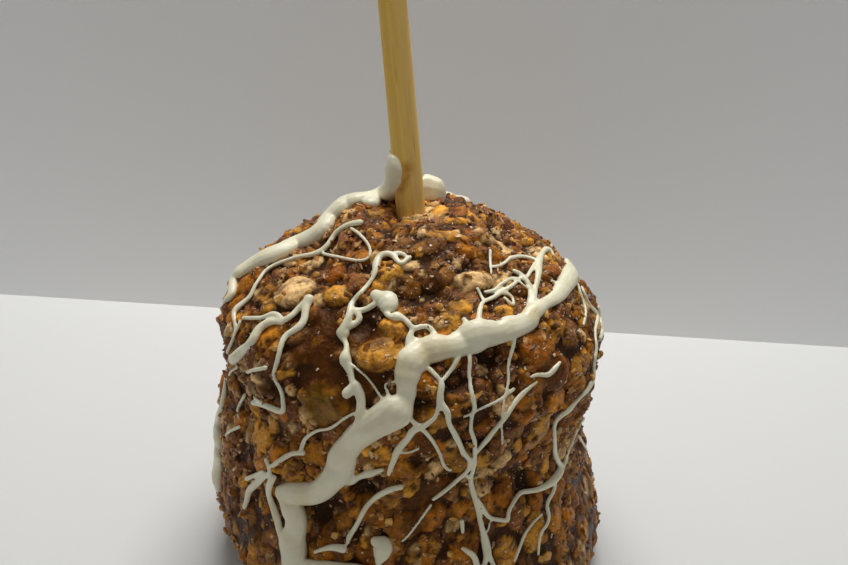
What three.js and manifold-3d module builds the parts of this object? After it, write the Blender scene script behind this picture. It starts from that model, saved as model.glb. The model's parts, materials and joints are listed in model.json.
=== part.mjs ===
// Caramel apple with a nut and chocolate coating, on a bamboo stick, with thick bands of white
// chocolate. Millimetres, +Z up, origin on the table under the middle of the apple, front towards -Y.
import * as THREE from "three";
import { mergeVertices } from "three/addons/utils/BufferGeometryUtils.js";
import Module from "manifold-3d";

const wasm = await Module();
wasm.setup();

// ---- driving sizes ----
const gap = 0.3; // clearance between pieces that touch

const body = {
  centreHeight: 44, // height of the point that every radius is measured from
  meanRadius: 45,
  // Latitude seen from that point, in degrees, the distance to the surface there, and how far
  // the coating sways towards +X at that level.
  profile: [
    { latitude: -90, radius: 60, sway: 2 },
    { latitude: -48, radius: 60.4, sway: 2.5 },
    { latitude: -36, radius: 57.3, sway: 3.3 },
    { latitude: -22, radius: 46.4, sway: 1.2 },
    { latitude: -8, radius: 42, sway: -0.5 },
    { latitude: 8, radius: 41, sway: 1.1 },
    { latitude: 24, radius: 45.2, sway: 0.5 },
    { latitude: 40, radius: 43.2, sway: 1.2 },
    { latitude: 56, radius: 40.6, sway: 1.4 },
    { latitude: 72, radius: 42.2, sway: 0.4 },
    { latitude: 90, radius: 42.5, sway: 0 },
  ],
  // Clusters of nuts under the chocolate.
  lumpCount: 190,
  lumpSpread: 0.19, // angular radius of a lump, in radians
  lumpRise: 2.0,
  columns: 66,
  rows: 32,
  turnJitter: 0.2, // radians by which a lump's place varies
};

// Hollows where the coating is folded or missing: longitude from the front towards +X and latitude
// in degrees, angular radius in degrees along and across, and depth.
const hollows = [
  { longitude: -19, latitude: -15, along: 12, across: 6, depth: 5.0 }, // cave below the band's elbow
  { longitude: -10, latitude: -7, along: 6, across: 6, depth: 4.0 },
  { longitude: 17, latitude: 55, along: 9, across: 7, depth: 2.6 }, // fold below the ridge at the top
  { longitude: 38, latitude: -7, along: 13, across: 5, depth: 3.2 }, // crease above the foot
  { longitude: 60, latitude: -9, along: 14, across: 5, depth: 2.6 },
  { longitude: -52, latitude: 18, along: 9, across: 5, depth: 2.4 },
  { longitude: 27, latitude: 35, along: 6, across: 4, depth: 2.0 }, // shade under the front band
  { longitude: 6, latitude: 25, along: 5, across: 5, depth: 2.2 },
];

// Drizzle routes are drawn in millimetres on a sheet that stands through the apple's centre and
// leans back, seen from a point in front, and are dropped on the coating along that line of sight.
const sheet = {
  lean: 26, // degrees from upright, away from the point
  eye: new THREE.Vector3(3, -193.2, 162.3),
  nearest: 120, // the line of sight is followed between these distances from the point
  farthest: 270,
  step: 0.25,
};

const chocolate = {
  rise: 0.52, // height of a band over its bed, as a share of its width
  sink: 2.6, // how far its underside reaches into the bed before the bed is cut away
  sides: 8,
  step: 2.6, // spacing of the cross-sections along a band
};

const stick = {
  width: 6.7,
  depth: 5.0,
  corner: 1.6,
  length: 140,
  inside: 62, // length that is pushed into the apple
  entry: new THREE.Vector3(-0.7, 0, 84.2), // where its axis meets the coating
  leanLeft: 8.6, // degrees from upright, towards -X
  leanBack: 14, // degrees from upright, towards +Y
  topScale: 0.88, // it narrows slightly towards the top
  pointLength: 14,
  pointScale: 0.3,
  bevel: 0.5,
  steps: 14,
};

const tableSize = 300; // side of the block that the foot is cut flat with

// ---- helpers ----
const { degToRad, radToDeg, clamp, lerp, smoothstep } = THREE.MathUtils;
const centre = new THREE.Vector3(0, 0, body.centreHeight);

// A smooth curve through stations, read at one place. Each station has a place and a value.
function smoothThrough(stations, placeName, valueName, at) {
  const last = stations.length - 1;
  let i = 0;
  while (i < last - 1 && at > stations[i + 1][placeName]) i++;
  const slope = (k) => {
    const low = stations[Math.max(k - 1, 0)];
    const high = stations[Math.min(k + 1, last)];
    return (high[valueName] - low[valueName]) / (high[placeName] - low[placeName]);
  };
  const span = stations[i + 1][placeName] - stations[i][placeName];
  const t = (at - stations[i][placeName]) / span;
  const t2 = t * t;
  const t3 = t2 * t;
  return (
    (2 * t3 - 3 * t2 + 1) * stations[i][valueName] +
    (t3 - 2 * t2 + t) * span * slope(i) +
    (3 * t2 - 2 * t3) * stations[i + 1][valueName] +
    (t3 - t2) * span * slope(i + 1)
  );
}

// A small seeded generator, so that the lumps are the same in every build.
function seededRandom(seed) {
  let state = seed;
  return () => {
    state = (state + 0x6d2b79f5) | 0;
    let t = Math.imul(state ^ (state >>> 15), 1 | state);
    t = (t + Math.imul(t ^ (t >>> 7), 61 | t)) ^ t;
    return ((t ^ (t >>> 14)) >>> 0) / 4294967296;
  };
}

// Unit direction from the apple's centre. Longitude 0 is the front, -Y.
function directionOf(longitude, latitude) {
  const turn = degToRad(longitude);
  const rise = degToRad(latitude);
  return new THREE.Vector3(
    Math.sin(turn) * Math.cos(rise),
    -Math.cos(turn) * Math.cos(rise),
    Math.sin(rise),
  );
}

// ---- coated apple ----
// The lumps are spread evenly over the apple by the golden angle.
function scatterLumps() {
  const random = seededRandom(7);
  const goldenAngle = Math.PI * (3 - Math.sqrt(5));
  return Array.from({ length: body.lumpCount }, (_, i) => {
    const up = 1 - (2 * (i + 0.5)) / body.lumpCount;
    const ring = Math.sqrt(1 - up * up);
    const turn = i * goldenAngle + (random() - 0.5) * body.turnJitter;
    return {
      towards: new THREE.Vector3(ring * Math.cos(turn), ring * Math.sin(turn), up),
      spread: body.lumpSpread * (0.7 + 0.6 * random()),
      rise: body.lumpRise * (0.3 + 0.9 * random()),
    };
  });
}
const lumps = scatterLumps();

// Distance from the apple's centre to the coating along a unit direction.
function bodyRadius(towards) {
  const latitude = radToDeg(Math.asin(clamp(towards.z, -1, 1)));
  const longitude = radToDeg(Math.atan2(towards.x, -towards.y));
  const plain = smoothThrough(body.profile, "latitude", "radius", latitude);
  const sway = smoothThrough(body.profile, "latitude", "sway", latitude);
  const radius = plain * (1 + (sway / body.meanRadius) * Math.sin(degToRad(longitude)));
  let raised = 0;
  for (const lump of lumps) {
    const away = towards.angleTo(lump.towards) / lump.spread;
    if (away < 1) raised = Math.max(raised, lump.rise * (1 - away * away));
  }
  let sunk = 0;
  for (const hollow of hollows) {
    const along = ((longitude - hollow.longitude) * Math.cos(degToRad(latitude))) / hollow.along;
    const across = (latitude - hollow.latitude) / hollow.across;
    const away = along * along + across * across;
    if (away < 1) sunk = Math.max(sunk, hollow.depth * (1 - away) * (1 - away));
  }
  return radius + raised - sunk;
}

function solidOf(geometry) {
  const bare = geometry.clone();
  bare.deleteAttribute("normal");
  bare.deleteAttribute("uv");
  const merged = mergeVertices(bare, 1e-4);
  return new wasm.Manifold(
    new wasm.Mesh({
      numProp: 3,
      vertProperties: merged.attributes.position.array,
      triVerts: new Uint32Array(merged.index.array),
    }),
  );
}

function geometryOf(solid) {
  const made = solid.getMesh();
  return new THREE.BufferGeometry()
    .setAttribute("position", new THREE.BufferAttribute(made.vertProperties, 3))
    .setIndex(new THREE.BufferAttribute(made.triVerts, 1));
}

// Moves each vertex of a geometry to the place that a function gives for it.
function reshape(geometry, placeOf) {
  const place = geometry.attributes.position;
  const vertex = new THREE.Vector3();
  for (let i = 0; i < place.count; i++) {
    const moved = placeOf(vertex.fromBufferAttribute(place, i));
    place.setXYZ(i, moved.x, moved.y, moved.z);
  }
  return geometry;
}

// The whole rounded body. With a clearance it is that much larger all round.
function bodySolid(clearance = 0) {
  const ball = new THREE.SphereGeometry(1, body.columns, body.rows).rotateX(Math.PI / 2);
  return solidOf(
    reshape(ball, (vertex) => {
      const towards = vertex.clone().normalize();
      return towards.multiplyScalar(bodyRadius(towards) + clearance).add(centre);
    }),
  );
}

// ---- stick ----
// Extruded upright from the point at its foot, then narrowed at both ends.
function stickGeometry(clearance) {
  const x = stick.width / 2 + clearance;
  const y = stick.depth / 2 + clearance;
  const corner = stick.corner + clearance;
  const outline = new THREE.Shape();
  outline.absarc(x - corner, y - corner, corner, 0, Math.PI / 2);
  outline.absarc(corner - x, y - corner, corner, Math.PI / 2, Math.PI);
  outline.absarc(corner - x, corner - y, corner, Math.PI, Math.PI * 1.5);
  outline.absarc(x - corner, corner - y, corner, Math.PI * 1.5, Math.PI * 2);
  const upright = new THREE.ExtrudeGeometry(outline, {
    depth: stick.length - 2 * stick.bevel + clearance,
    steps: stick.steps,
    curveSegments: 3,
    bevelThickness: stick.bevel,
    bevelSize: stick.bevel,
    bevelOffset: -stick.bevel,
    bevelSegments: 1,
  });
  return reshape(upright, ({ x: across, y: deep, z: height }) => {
    const point = lerp(stick.pointScale, 1, smoothstep(height, 0, stick.pointLength));
    const size = point * lerp(1, stick.topScale, clamp(height / stick.length, 0, 1));
    return new THREE.Vector3(across * size, deep * size, height - clearance);
  });
}

const stickAxis = new THREE.Vector3(
  -Math.tan(degToRad(stick.leanLeft)),
  Math.tan(degToRad(stick.leanBack)),
  1,
).normalize();

function seatStick(object) {
  object.quaternion.setFromUnitVectors(new THREE.Vector3(0, 0, 1), stickAxis);
  object.position.copy(stick.entry).addScaledVector(stickAxis, -stick.inside);
  object.updateMatrixWorld();
  return object;
}

// The stick's solid where it stands, to cut its neighbours with.
function seatedStick(clearance) {
  const holder = seatStick(new THREE.Object3D());
  return solidOf(stickGeometry(clearance).applyMatrix4(holder.matrixWorld));
}

// ---- white chocolate ----
// Where the line of sight through a place on the sheet first meets the coating, or passes nearest.
function onCoating(across, up) {
  const lean = degToRad(sheet.lean);
  const place = new THREE.Vector3(across, up * Math.sin(lean), up * Math.cos(lean)).add(centre);
  const sight = place.sub(sheet.eye).normalize();
  let best = { share: Infinity };
  for (let reach = sheet.nearest; reach < sheet.farthest; reach += sheet.step) {
    const towards = sheet.eye.clone().addScaledVector(sight, reach).sub(centre);
    const share = towards.length() / bodyRadius(towards.clone().normalize());
    if (share < best.share) best = { share, towards };
    if (share <= 1) break;
  }
  return best.towards.normalize();
}

// Each place of a band's route has its foot, measured from the apple's centre, the direction that
// the band rises in there, and its width.
function coatingPlace(towards, width) {
  return { foot: towards.clone().multiplyScalar(bodyRadius(towards)), out: towards, width };
}
const seenRoute = (places) => places.map(([x, y, width]) => coatingPlace(onCoating(x, y), width));
const turnedRoute = (places) =>
  places.map(([longitude, latitude, width]) => coatingPlace(directionOf(longitude, latitude), width));
const stickRoute = (places) =>
  places.map(([height, width]) => ({
    foot: stick.entry.clone().sub(centre).addScaledVector(stickAxis, height)
      .add(new THREE.Vector3(-stick.width / 2, 0, 0)),
    out: new THREE.Vector3(-1, 0, 0),
    width,
  }));

// A round-ended bar bent along the route, with its underside sunk in what carries it.
function bandBar(route) {
  const curveOf = (name) =>
    new THREE.CatmullRomCurve3(route.map((place) => place[name]), false, "centripetal");
  const bed = curveOf("foot");
  const outward = curveOf("out");
  const length = bed.getLength();
  const steps = Math.max(3, Math.round(length / chocolate.step));
  const widthAt = (t) => {
    const at = t * (route.length - 1);
    const i = Math.min(Math.floor(at), route.length - 2);
    return lerp(route[i].width, route[i + 1].width, smoothstep(at - i, 0, 1));
  };
  const bar = new THREE.CapsuleGeometry(1, length, 2, chocolate.sides, steps);
  return reshape(bar, (vertex) => {
    const along = clamp(vertex.y, -length / 2, length / 2);
    const t = along / length + 0.5;
    const foot = bed.getPoint(t);
    const ahead = bed.getTangent(t);
    const out = outward.getPoint(t).normalize();
    const side = new THREE.Vector3().crossVectors(ahead, out).normalize();
    const half = widthAt(t) / 2;
    const crest = widthAt(t) * chocolate.rise;
    return foot
      .addScaledVector(side, vertex.x * half)
      .addScaledVector(out, vertex.z * (vertex.z > 0 ? crest : chocolate.sink))
      .addScaledVector(ahead, (vertex.y - along) * half)
      .add(centre);
  });
}

const bands = {
  // From the shoulder on the right, down across the front to the elbow at lower left, and down again.
  front_band: [
    seenRoute([
      [37.7, 27, 3.2], [37.4, 25, 4.1], [36, 22.6, 3.9], [34.4, 20.2, 3.3], [32, 18.4, 3],
      [29.1, 16, 4], [26.4, 13.1, 4.6], [23, 11.7, 4.9], [19.4, 10.5, 5.6], [15.8, 9.5, 6.5],
      [12.4, 7.6, 5.4], [9.4, 6.6, 4.8], [6, 5.9, 5.6], [3, 4.2, 6], [1, 2, 6.2],
    ]),
    seenRoute([
      [2.4, 3.4, 5.4], [0.8, 1, 6], [0.4, -1.8, 4.8], [0.4, -4.6, 4], [-0.2, -7.2, 5],
      [-2.4, -9.8, 6.6], [-5.4, -12, 6.2], [-8.6, -14.4, 5.8], [-11.4, -17.2, 5.4],
      [-13.4, -20.2, 5.8], [-14.2, -23.4, 6], [-15.6, -26.6, 5.4], [-18.4, -29.2, 5.1],
      [-21.6, -30.3, 5.2], [-24.6, -30.6, 5],
    ]),
    seenRoute([
      [-25.6, -31.2, 5], [-24.7, -34, 5], [-24, -36.8, 4.9], [-23.8, -39.6, 5.4],
      [-24.1, -42.4, 6.4], [-24, -44.6, 5.6],
    ]),
  ],
  // From the foot of the stick along the left shoulder.
  shoulder_band: [
    [
      ...turnedRoute([[-95, 83, 4.6], [-112, 78, 5.4], [-117, 72.5, 5.4]]),
      ...seenRoute([
        [-15.2, 39.6, 5.2], [-18.2, 37.4, 5.4], [-20.8, 34.6, 5.2], [-23, 31.6, 4.8],
        [-26.6, 29.4, 4.2], [-30.6, 27.2, 3.9], [-34, 25.4, 4.5], [-37.2, 23.6, 4.5],
        [-40.2, 21.6, 3.8], [-41.8, 19.2, 3], [-42.2, 16.4, 2.6],
      ]),
    ],
    stickRoute([[3, 5.2], [7, 4.8], [10.5, 4.4], [15, 2.2]]),
  ],
  stick_dab: [turnedRoute([[150, 82, 5.2], [100, 82.5, 5.2]])],
  left_drip: [
    turnedRoute([
      [-88, -4, 2.4], [-87, -11, 2.8], [-86, -18, 3.6], [-85, -24, 4.6], [-84, -29, 4.6],
      [-83, -34, 4],
    ]),
  ],
  foot_pool: [turnedRoute([[-16, -33, 6], [-24, -38, 7.5], [-17, -41, 6.5], [-6, -39, 5]])],
  // Behind, where the ribbons go on round the apple.
  back_band: [
    turnedRoute([
      [168, 66, 4.2], [158, 54, 5], [161, 42, 5.6], [170, 31, 5], [178, 20, 5.8],
      [190, 11, 6.2], [203, 4, 5.4], [212, -6, 4.8], [212, -17, 5.2], [206, -27, 5],
    ]),
  ],
  side_band: [
    turnedRoute([
      [120, 35, 3.4], [121, 26, 4.6], [116, 16, 5], [121, 6, 4.8], [131, -2, 4.4], [135, -13, 5],
      [129, -23, 4.4],
    ]),
  ],
};

// ---- assembly ----
const root = new THREE.Group();

function addPiece(name, geometry, color, roughness) {
  const piece = new THREE.Mesh(
    geometry,
    new THREE.MeshStandardMaterial({ color, roughness, metalness: 0 }),
  );
  piece.name = name;
  root.add(piece);
  return piece;
}

const table = solidOf(
  new THREE.BoxGeometry(tableSize, tableSize, tableSize).translate(0, 0, -tableSize / 2),
);
const apple = bodySolid().subtract(table).subtract(seatedStick(gap));
addPiece("coated_apple", geometryOf(apple), 0x523719, 0.45);
seatStick(addPiece("bamboo_stick", stickGeometry(0), 0x9c7c46, 0.6));

const bed = bodySolid(gap).add(seatedStick(gap)).add(table);
for (const [name, bars] of Object.entries(bands)) {
  const whole = bars.map((route) => solidOf(bandBar(route))).reduce((sum, bar) => sum.add(bar));
  const pieces = whole.subtract(bed).decompose();
  pieces.sort((a, b) => b.volume() - a.volume());
  addPiece(name, geometryOf(pieces[0]), 0xe4dfcb, 0.35);
}

export default root;
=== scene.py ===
import json
import math
import random

import bmesh
import bpy
import numpy as np
from mathutils import Matrix, Vector, noise
from mathutils.bvhtree import BVHTree

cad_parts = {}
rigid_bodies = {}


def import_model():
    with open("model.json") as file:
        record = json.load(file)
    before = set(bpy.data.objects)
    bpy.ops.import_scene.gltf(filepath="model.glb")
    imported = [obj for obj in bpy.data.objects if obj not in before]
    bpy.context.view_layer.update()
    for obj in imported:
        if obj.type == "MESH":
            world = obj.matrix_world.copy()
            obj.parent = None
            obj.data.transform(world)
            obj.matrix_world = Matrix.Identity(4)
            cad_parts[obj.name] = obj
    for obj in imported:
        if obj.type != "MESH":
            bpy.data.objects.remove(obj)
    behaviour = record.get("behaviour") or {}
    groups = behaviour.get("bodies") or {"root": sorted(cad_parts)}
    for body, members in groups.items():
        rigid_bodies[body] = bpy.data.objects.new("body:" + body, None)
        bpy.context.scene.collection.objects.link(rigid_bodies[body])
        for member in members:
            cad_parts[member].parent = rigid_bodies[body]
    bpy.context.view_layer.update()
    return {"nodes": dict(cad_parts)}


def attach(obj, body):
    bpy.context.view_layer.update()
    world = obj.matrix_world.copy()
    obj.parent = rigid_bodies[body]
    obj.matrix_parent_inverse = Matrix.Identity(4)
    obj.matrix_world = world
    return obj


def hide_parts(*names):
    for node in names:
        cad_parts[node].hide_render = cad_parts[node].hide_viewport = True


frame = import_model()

scene = bpy.context.scene
mm = 0.001  # shapes are worked out in millimetres and scaled when their mesh is made
middle = np.array([0.0, 0.0, 44.0])  # the point inside the fruit that everything is measured from


def linear(red, green, blue):
    # screen colour, 0 to 255, to the linear colour that Blender mixes
    return tuple(((v / 255 + 0.055) / 1.055) ** 2.4 if v > 10 else v / 255 / 12.92
                 for v in (red, green, blue))


def unit(vectors):
    return vectors / np.maximum(np.linalg.norm(vectors, axis=-1, keepdims=True), 1e-9)


# ---- camera ----
cameraSet = {"place": (3.0, -193.24, 162.25), "tiltDown": 26, "roll": 3.6, "lens": 40.33}

tilt = math.radians(cameraSet["tiltDown"])
roll = math.radians(cameraSet["roll"])
lookUp = np.array([0, math.sin(tilt), math.cos(tilt)])  # up along the sheet that faces the camera
lookAlong = Vector((0, math.cos(tilt), -math.sin(tilt)))
eye = np.array(cameraSet["place"])
cameraRight = Vector((math.cos(roll), math.sin(roll) * lookUp[1], math.sin(roll) * lookUp[2]))
cameraUp = cameraRight.cross(lookAlong)
camera = bpy.data.objects.new("camera", bpy.data.cameras.new("camera"))
camera.data.lens = cameraSet["lens"]
camera.data.clip_start, camera.data.clip_end = 0.01, 10
camera.matrix_world = Matrix.Translation(Vector(eye) * mm) @ Matrix(
    (cameraRight, cameraUp, -lookAlong)).transposed().to_4x4()
scene.collection.objects.link(camera)
scene.camera = camera


# ---- meshes ----
def meshOf(name, points, faces):
    mesh = bpy.data.meshes.new(name)
    mesh.from_pydata((points * mm).tolist(), [], faces)
    mesh.shade_smooth()
    mesh.update()
    return mesh


def pieceOf(name, mesh):
    piece = bpy.data.objects.new(name, mesh)
    scene.collection.objects.link(piece)
    return piece


def setAttribute(mesh, name, kind, values):
    layer = mesh.attributes.new(name, kind, "POINT")
    values = np.asarray(values, np.float32)
    if kind == "FLOAT_COLOR":
        values = np.hstack([values, np.ones((len(values), 1), np.float32)])
        layer.data.foreach_set("color", values.ravel())
    else:
        layer.data.foreach_set("value", values.ravel())


def finished(piece):
    # the evaluated mesh takes the place of the piece's mesh and modifiers
    made = bpy.data.meshes.new_from_object(piece.evaluated_get(bpy.context.evaluated_depsgraph_get()))
    made.name = piece.name
    places = np.empty(len(made.vertices) * 3, np.float32)
    made.vertices.foreach_get("co", places)
    places[2::3] = np.maximum(places[2::3], 0)  # nothing reaches below the floor
    made.vertices.foreach_set("co", places)
    piece.modifiers.clear()
    piece.data = made
    return piece


def ringFaces(rings, around):
    # faces between rings of points that follow one another
    return [[row * around + k, row * around + (k + 1) % around,
             (row + 1) * around + (k + 1) % around, (row + 1) * around + k]
            for row in range(rings - 1) for k in range(around)]


def cadShape(name):
    # points in millimetres and triangles of a CAD node, with its doubled vertices merged
    shape = bmesh.new()
    shape.from_mesh(frame["nodes"][name].data)
    bmesh.ops.remove_doubles(shape, verts=shape.verts, dist=1e-6)
    shape.verts.index_update()
    points = np.array([v.co for v in shape.verts]) / mm
    faces = [[v.index for v in face.verts] for face in shape.faces]
    shape.free()
    return points, faces


def ballGrid(steps):
    # a ball of even four-sided faces: six squares swelled outwards
    turn = np.tan(np.linspace(-math.pi / 4, math.pi / 4, steps + 1))
    u, v = np.meshgrid(turn, turn, indexing="ij")
    one = np.ones_like(u)
    sides = [(one, u, v), (-one, v, u), (v, one, u), (u, -one, v), (u, v, one), (v, u, -one)]
    points = unit(np.concatenate([np.stack(side, -1).reshape(-1, 3) for side in sides]))
    _, first, same = np.unique(np.round(points * 1e5).astype(int), axis=0,
                               return_index=True, return_inverse=True)
    i, j = np.meshgrid(np.arange(steps), np.arange(steps), indexing="ij")
    corner = (i * (steps + 1) + j).ravel()
    square = np.stack([corner, corner + steps + 1, corner + steps + 2, corner + 1], -1)
    faces = np.concatenate([square + side * (steps + 1) ** 2 for side in range(6)])
    faces = same.ravel()[faces]
    edges = np.concatenate([faces[:, [k, (k + 1) % 4]] for k in range(4)])
    edges = np.unique(np.sort(edges, axis=1), axis=0)
    return points[first], faces, np.concatenate([edges, edges[:, ::-1]])


def spread(values, edges, rounds, share=0.5):
    # evens a value out over neighbouring vertices
    count = np.maximum(np.bincount(edges[:, 0], minlength=len(values)), 1)
    for _ in range(rounds):
        near = np.bincount(edges[:, 0], weights=values[edges[:, 1]], minlength=len(values)) / count
        values = values + share * (near - values)
    return values


def highest(values, edges, rounds):
    # each vertex takes the highest value near it
    for _ in range(rounds):
        values = values.copy()
        np.maximum.at(values, edges[:, 0], values[edges[:, 1]])
    return values


# ---- stick: its axis and size come from the CAD node ----
stickSet = {"sides": 40, "rings": 150, "footLength": 16, "footRings": 12, "cornerRadius": 1.7,
            "waver": 0.05}

stickPoints, _ = cadShape("bamboo_stick")
stickMiddle = stickPoints.mean(axis=0)
_, _, stickTurn = np.linalg.svd(stickPoints - stickMiddle, full_matrices=False)
stickAlong = stickTurn[0] * np.sign(stickTurn[0][2])
reach = (stickPoints - stickMiddle) @ stickAlong
upper = stickPoints[(reach > 0) & (reach < reach.max() - 2)] - stickMiddle
stickWide = np.array([1.0, 0, 0]) - stickAlong[0] * stickAlong
stickWide /= np.linalg.norm(stickWide)
stickDeep = np.cross(stickAlong, stickWide)
stickFoot = stickMiddle + stickAlong * reach.min()
for across in (stickDeep, stickWide):
    stickFoot = stickFoot + across * ((upper @ across).max() + (upper @ across).min()) / 2
stickLength = reach.max() - reach.min()
print("stick axis", np.round(stickAlong, 3), "length", round(float(stickLength), 1))


def stickSize(height):
    # half width and half depth of the CAD stick at a height along it
    near = np.abs((stickPoints - stickFoot) @ stickAlong - height)
    ring = stickPoints[near < near.min() + 0.3] - stickFoot
    return np.abs(ring @ stickWide).max(), np.abs(ring @ stickDeep).max()


levels = sorted({round(float(v), 1) for v in (stickPoints - stickFoot) @ stickAlong})
sizes = np.array([stickSize(level) for level in levels])


def stickMesh():
    turns = np.linspace(0, 2 * math.pi, stickSet["sides"], endpoint=False)
    low, high = levels[0], levels[-1]
    bend = low + stickSet["footLength"]
    heights = np.concatenate([np.linspace(low, bend, stickSet["footRings"], endpoint=False),
                              np.linspace(bend, high, stickSet["rings"])])
    rows = []
    for height in heights:
        halfWide = np.interp(height, levels, sizes[:, 0])
        halfDeep = np.interp(height, levels, sizes[:, 1])
        corner = min(stickSet["cornerRadius"], halfWide * 0.45, halfDeep * 0.6)
        c, s = np.cos(turns), np.sin(turns)
        # rounded rectangle: a corner circle pushed out to each of the four corners
        flat = np.stack([np.sign(c) * (halfWide - corner) * np.minimum(1, np.abs(c) * 2.2) + corner * c,
                         np.sign(s) * (halfDeep - corner) * np.minimum(1, np.abs(s) * 2.2) + corner * s], -1)
        shift = stickSet["waver"] * np.array(
            [noise.noise(Vector((x * 0.9, y * 0.9, height * 0.02 + 7))) for x, y in flat])
        flat = flat * (1 + shift[:, None] * 0.5)
        rows.append(stickFoot + height * stickAlong + flat[:, :1] * stickWide + flat[:, 1:] * stickDeep)
    points = np.concatenate(rows + [[rows[0].mean(axis=0)], [rows[-1].mean(axis=0)]])
    around = stickSet["sides"]
    faces = ringFaces(len(rows), around)
    for k in range(around):
        n = (k + 1) % around
        faces.append([len(rows) * around, n, k])
        faces.append([len(rows) * around + 1, (len(rows) - 1) * around + k, (len(rows) - 1) * around + n])
    return points, faces


stickAt, stickFaces = stickMesh()
bambooStick = pieceOf("bambooStick", meshOf("bambooStick", stickAt, stickFaces))
bambooStick.data.set_sharp_from_angle(angle=math.radians(50))

# ---- coating: the CAD body, evened out, with nuts and crumb raised on it ----
coatingSet = {
    "gridSteps": 127,
    "evenRounds": 36,  # how much of the CAD body's facets is smoothed away
    "meanRadius": 46,
    "stickInside": 62,  # length of the stick inside the fruit
    "holeReach": 0.17, "rimReach": 0.26,  # angles from the stick within which the surface is bridged
    "lowestNut": -0.83,  # upward part of a direction, below which nothing is scattered
    # count, shortest and longest half length, lowest and highest rise
    "nutLayers": [(1500, 1.6, 3.4, 1.1, 2.6), (1500, 0.9, 1.9, 0.7, 1.9)],
    "crumbs": 3200,
    "sunk": 0.75,  # how far the bed between the nuts lies below the CAD body
    "darkDepth": 1.1, "dimpleDepth": 3.0, "creviceDepth": 0.35,
    "seed": 11,
}

# colours of what the coating is made of
food = {
    "binder": linear(72, 32, 5),
    "chocolate": linear(124, 78, 50),
    "caramel": linear(135, 73, 13),
    "amber": linear(184, 112, 24),
    "gold": linear(216, 152, 54),
    "cream": linear(234, 196, 136),
}

# Nuts and patches that stand out, placed on the sheet that faces the camera: across and up in
# millimetres, length, width, turn in degrees, rise, and what it is.
placedNuts = [
    (-28, 18, 9.5, 8.5, 10, 2.6, "cream"), (-29, 25, 5, 3.6, 20, 1.6, "cream"),
    (-23, 25.6, 5, 3.4, -15, 1.5, "cream"), (-17.5, 17.5, 6, 5, 30, 1.8, "gold"),
    (-34, 14, 5, 4, 60, 1.4, "gold"), (-3.4, 10.2, 6.6, 5, 10, 2.2, "gold"),
    (-6.2, 4, 10, 6.6, 35, 2.8, "gold"), (5.4, -3, 5.4, 6.4, 80, 2.2, "amber"),
    (-32.4, 7, 7, 5.4, 60, 2.2, "amber"), (-40.5, -7, 4, 7, 0, 1.8, "amber"),
    (-33, -18, 6.6, 9, 25, 2.4, "gold"), (-26.5, -25, 5.6, 5, 0, 2, "gold"),
    (-35, -11.5, 7, 3.6, -20, 1.8, "gold"), (-19.5, -21, 8, 6, 40, 2.2, "amber"),
    (-8, -19, 5.4, 5, 20, 2, "gold"), (0, -24, 6, 6.4, 60, 2.2, "amber"),
    (13.4, -19.9, 7, 7, 40, 2.6, "gold"), (24.2, -19.8, 5, 5, 30, 2, "cream"),
    (19.6, -23, 3.6, 3, 20, 1.4, "cream"), (32.1, 16.1, 4, 5.6, 80, 2, "amber"),
    (23.7, 16.2, 6, 3.2, 15, 1.4, "gold"), (31, 7.5, 9, 8, 20, 2.4, "caramel"),
    (35.4, 2.6, 8, 9, 60, 2.3, "caramel"), (30.2, -0.8, 8, 5.6, -20, 1.9, "amber"),
    (32.7, -12, 5, 9, 5, 2, "gold"), (34.3, -19.7, 4, 5, 20, 1.8, "gold"),
    (26, -27, 7, 5, 50, 1.8, "amber"), (26.7, -42, 6, 6, 30, 2.4, "gold"),
    (16, -44, 6, 6, 0, 2.2, "amber"), (1.4, -36.8, 8, 6.4, 30, 1.8, "caramel"),
    (8.2, -34.4, 6.6, 6, 70, 1.7, "amber"), (-5, -34, 8, 6, 10, 1.6, "amber"),
    (8, 33.4, 11, 3.4, 12, 1.8, "gold"), (13, 30.5, 6, 5, 40, 2, "amber"),
    (20.5, 29, 5, 6, 70, 2, "amber"), (14, 22.6, 12, 4.4, 25, 2.2, "cream"),
    (9.4, 21, 6, 3.6, 20, 1.8, "gold"), (-1, 26, 5, 3, 15, 1.2, "cream"),
    (1.8, 39.2, 5.4, 4, 20, 3.2, "cream"), (5.6, 40.6, 5, 4, -20, 3, "gold"),
    (-10, 31, 5, 5, 60, 1.8, "amber"), (-13, 27, 7, 4, 10, 1.6, "amber"),
    (3, 39, 5, 3.6, 20, 1.4, "gold"), (14.5, 38, 5, 3.6, -20, 1.4, "gold"),
    (-39, 19, 5, 6, 30, 1.8, "amber"), (-12, -14.5, 4, 3, 0, 1.2, "amber"),
    (9, -11, 5, 4, 20, 1.4, "gold"), (20, -12, 5, 4, 50, 1.6, "caramel"),
    (20, -31, 6, 8, 10, 2, "amber"), (38, -31, 5, 8, -20, 2, "amber"), (33, -36, 5, 8, -10, 2, "gold"),
    (40, -38, 4, 8, -15, 1.8, "amber"), (-36, -33, 4, 8, 10, 1.8, "amber"),
    (-41, -33, 4, 7, 5, 1.8, "caramel"), (-31, -30, 4, 6, 20, 1.6, "gold"),
    (10, -27, 6, 5, 0, 1.6, "caramel"), (-13, -36, 5, 4, 30, 1.6, "amber"), (4, 5, 4, 3, 0, 1, "amber"),
]

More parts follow.
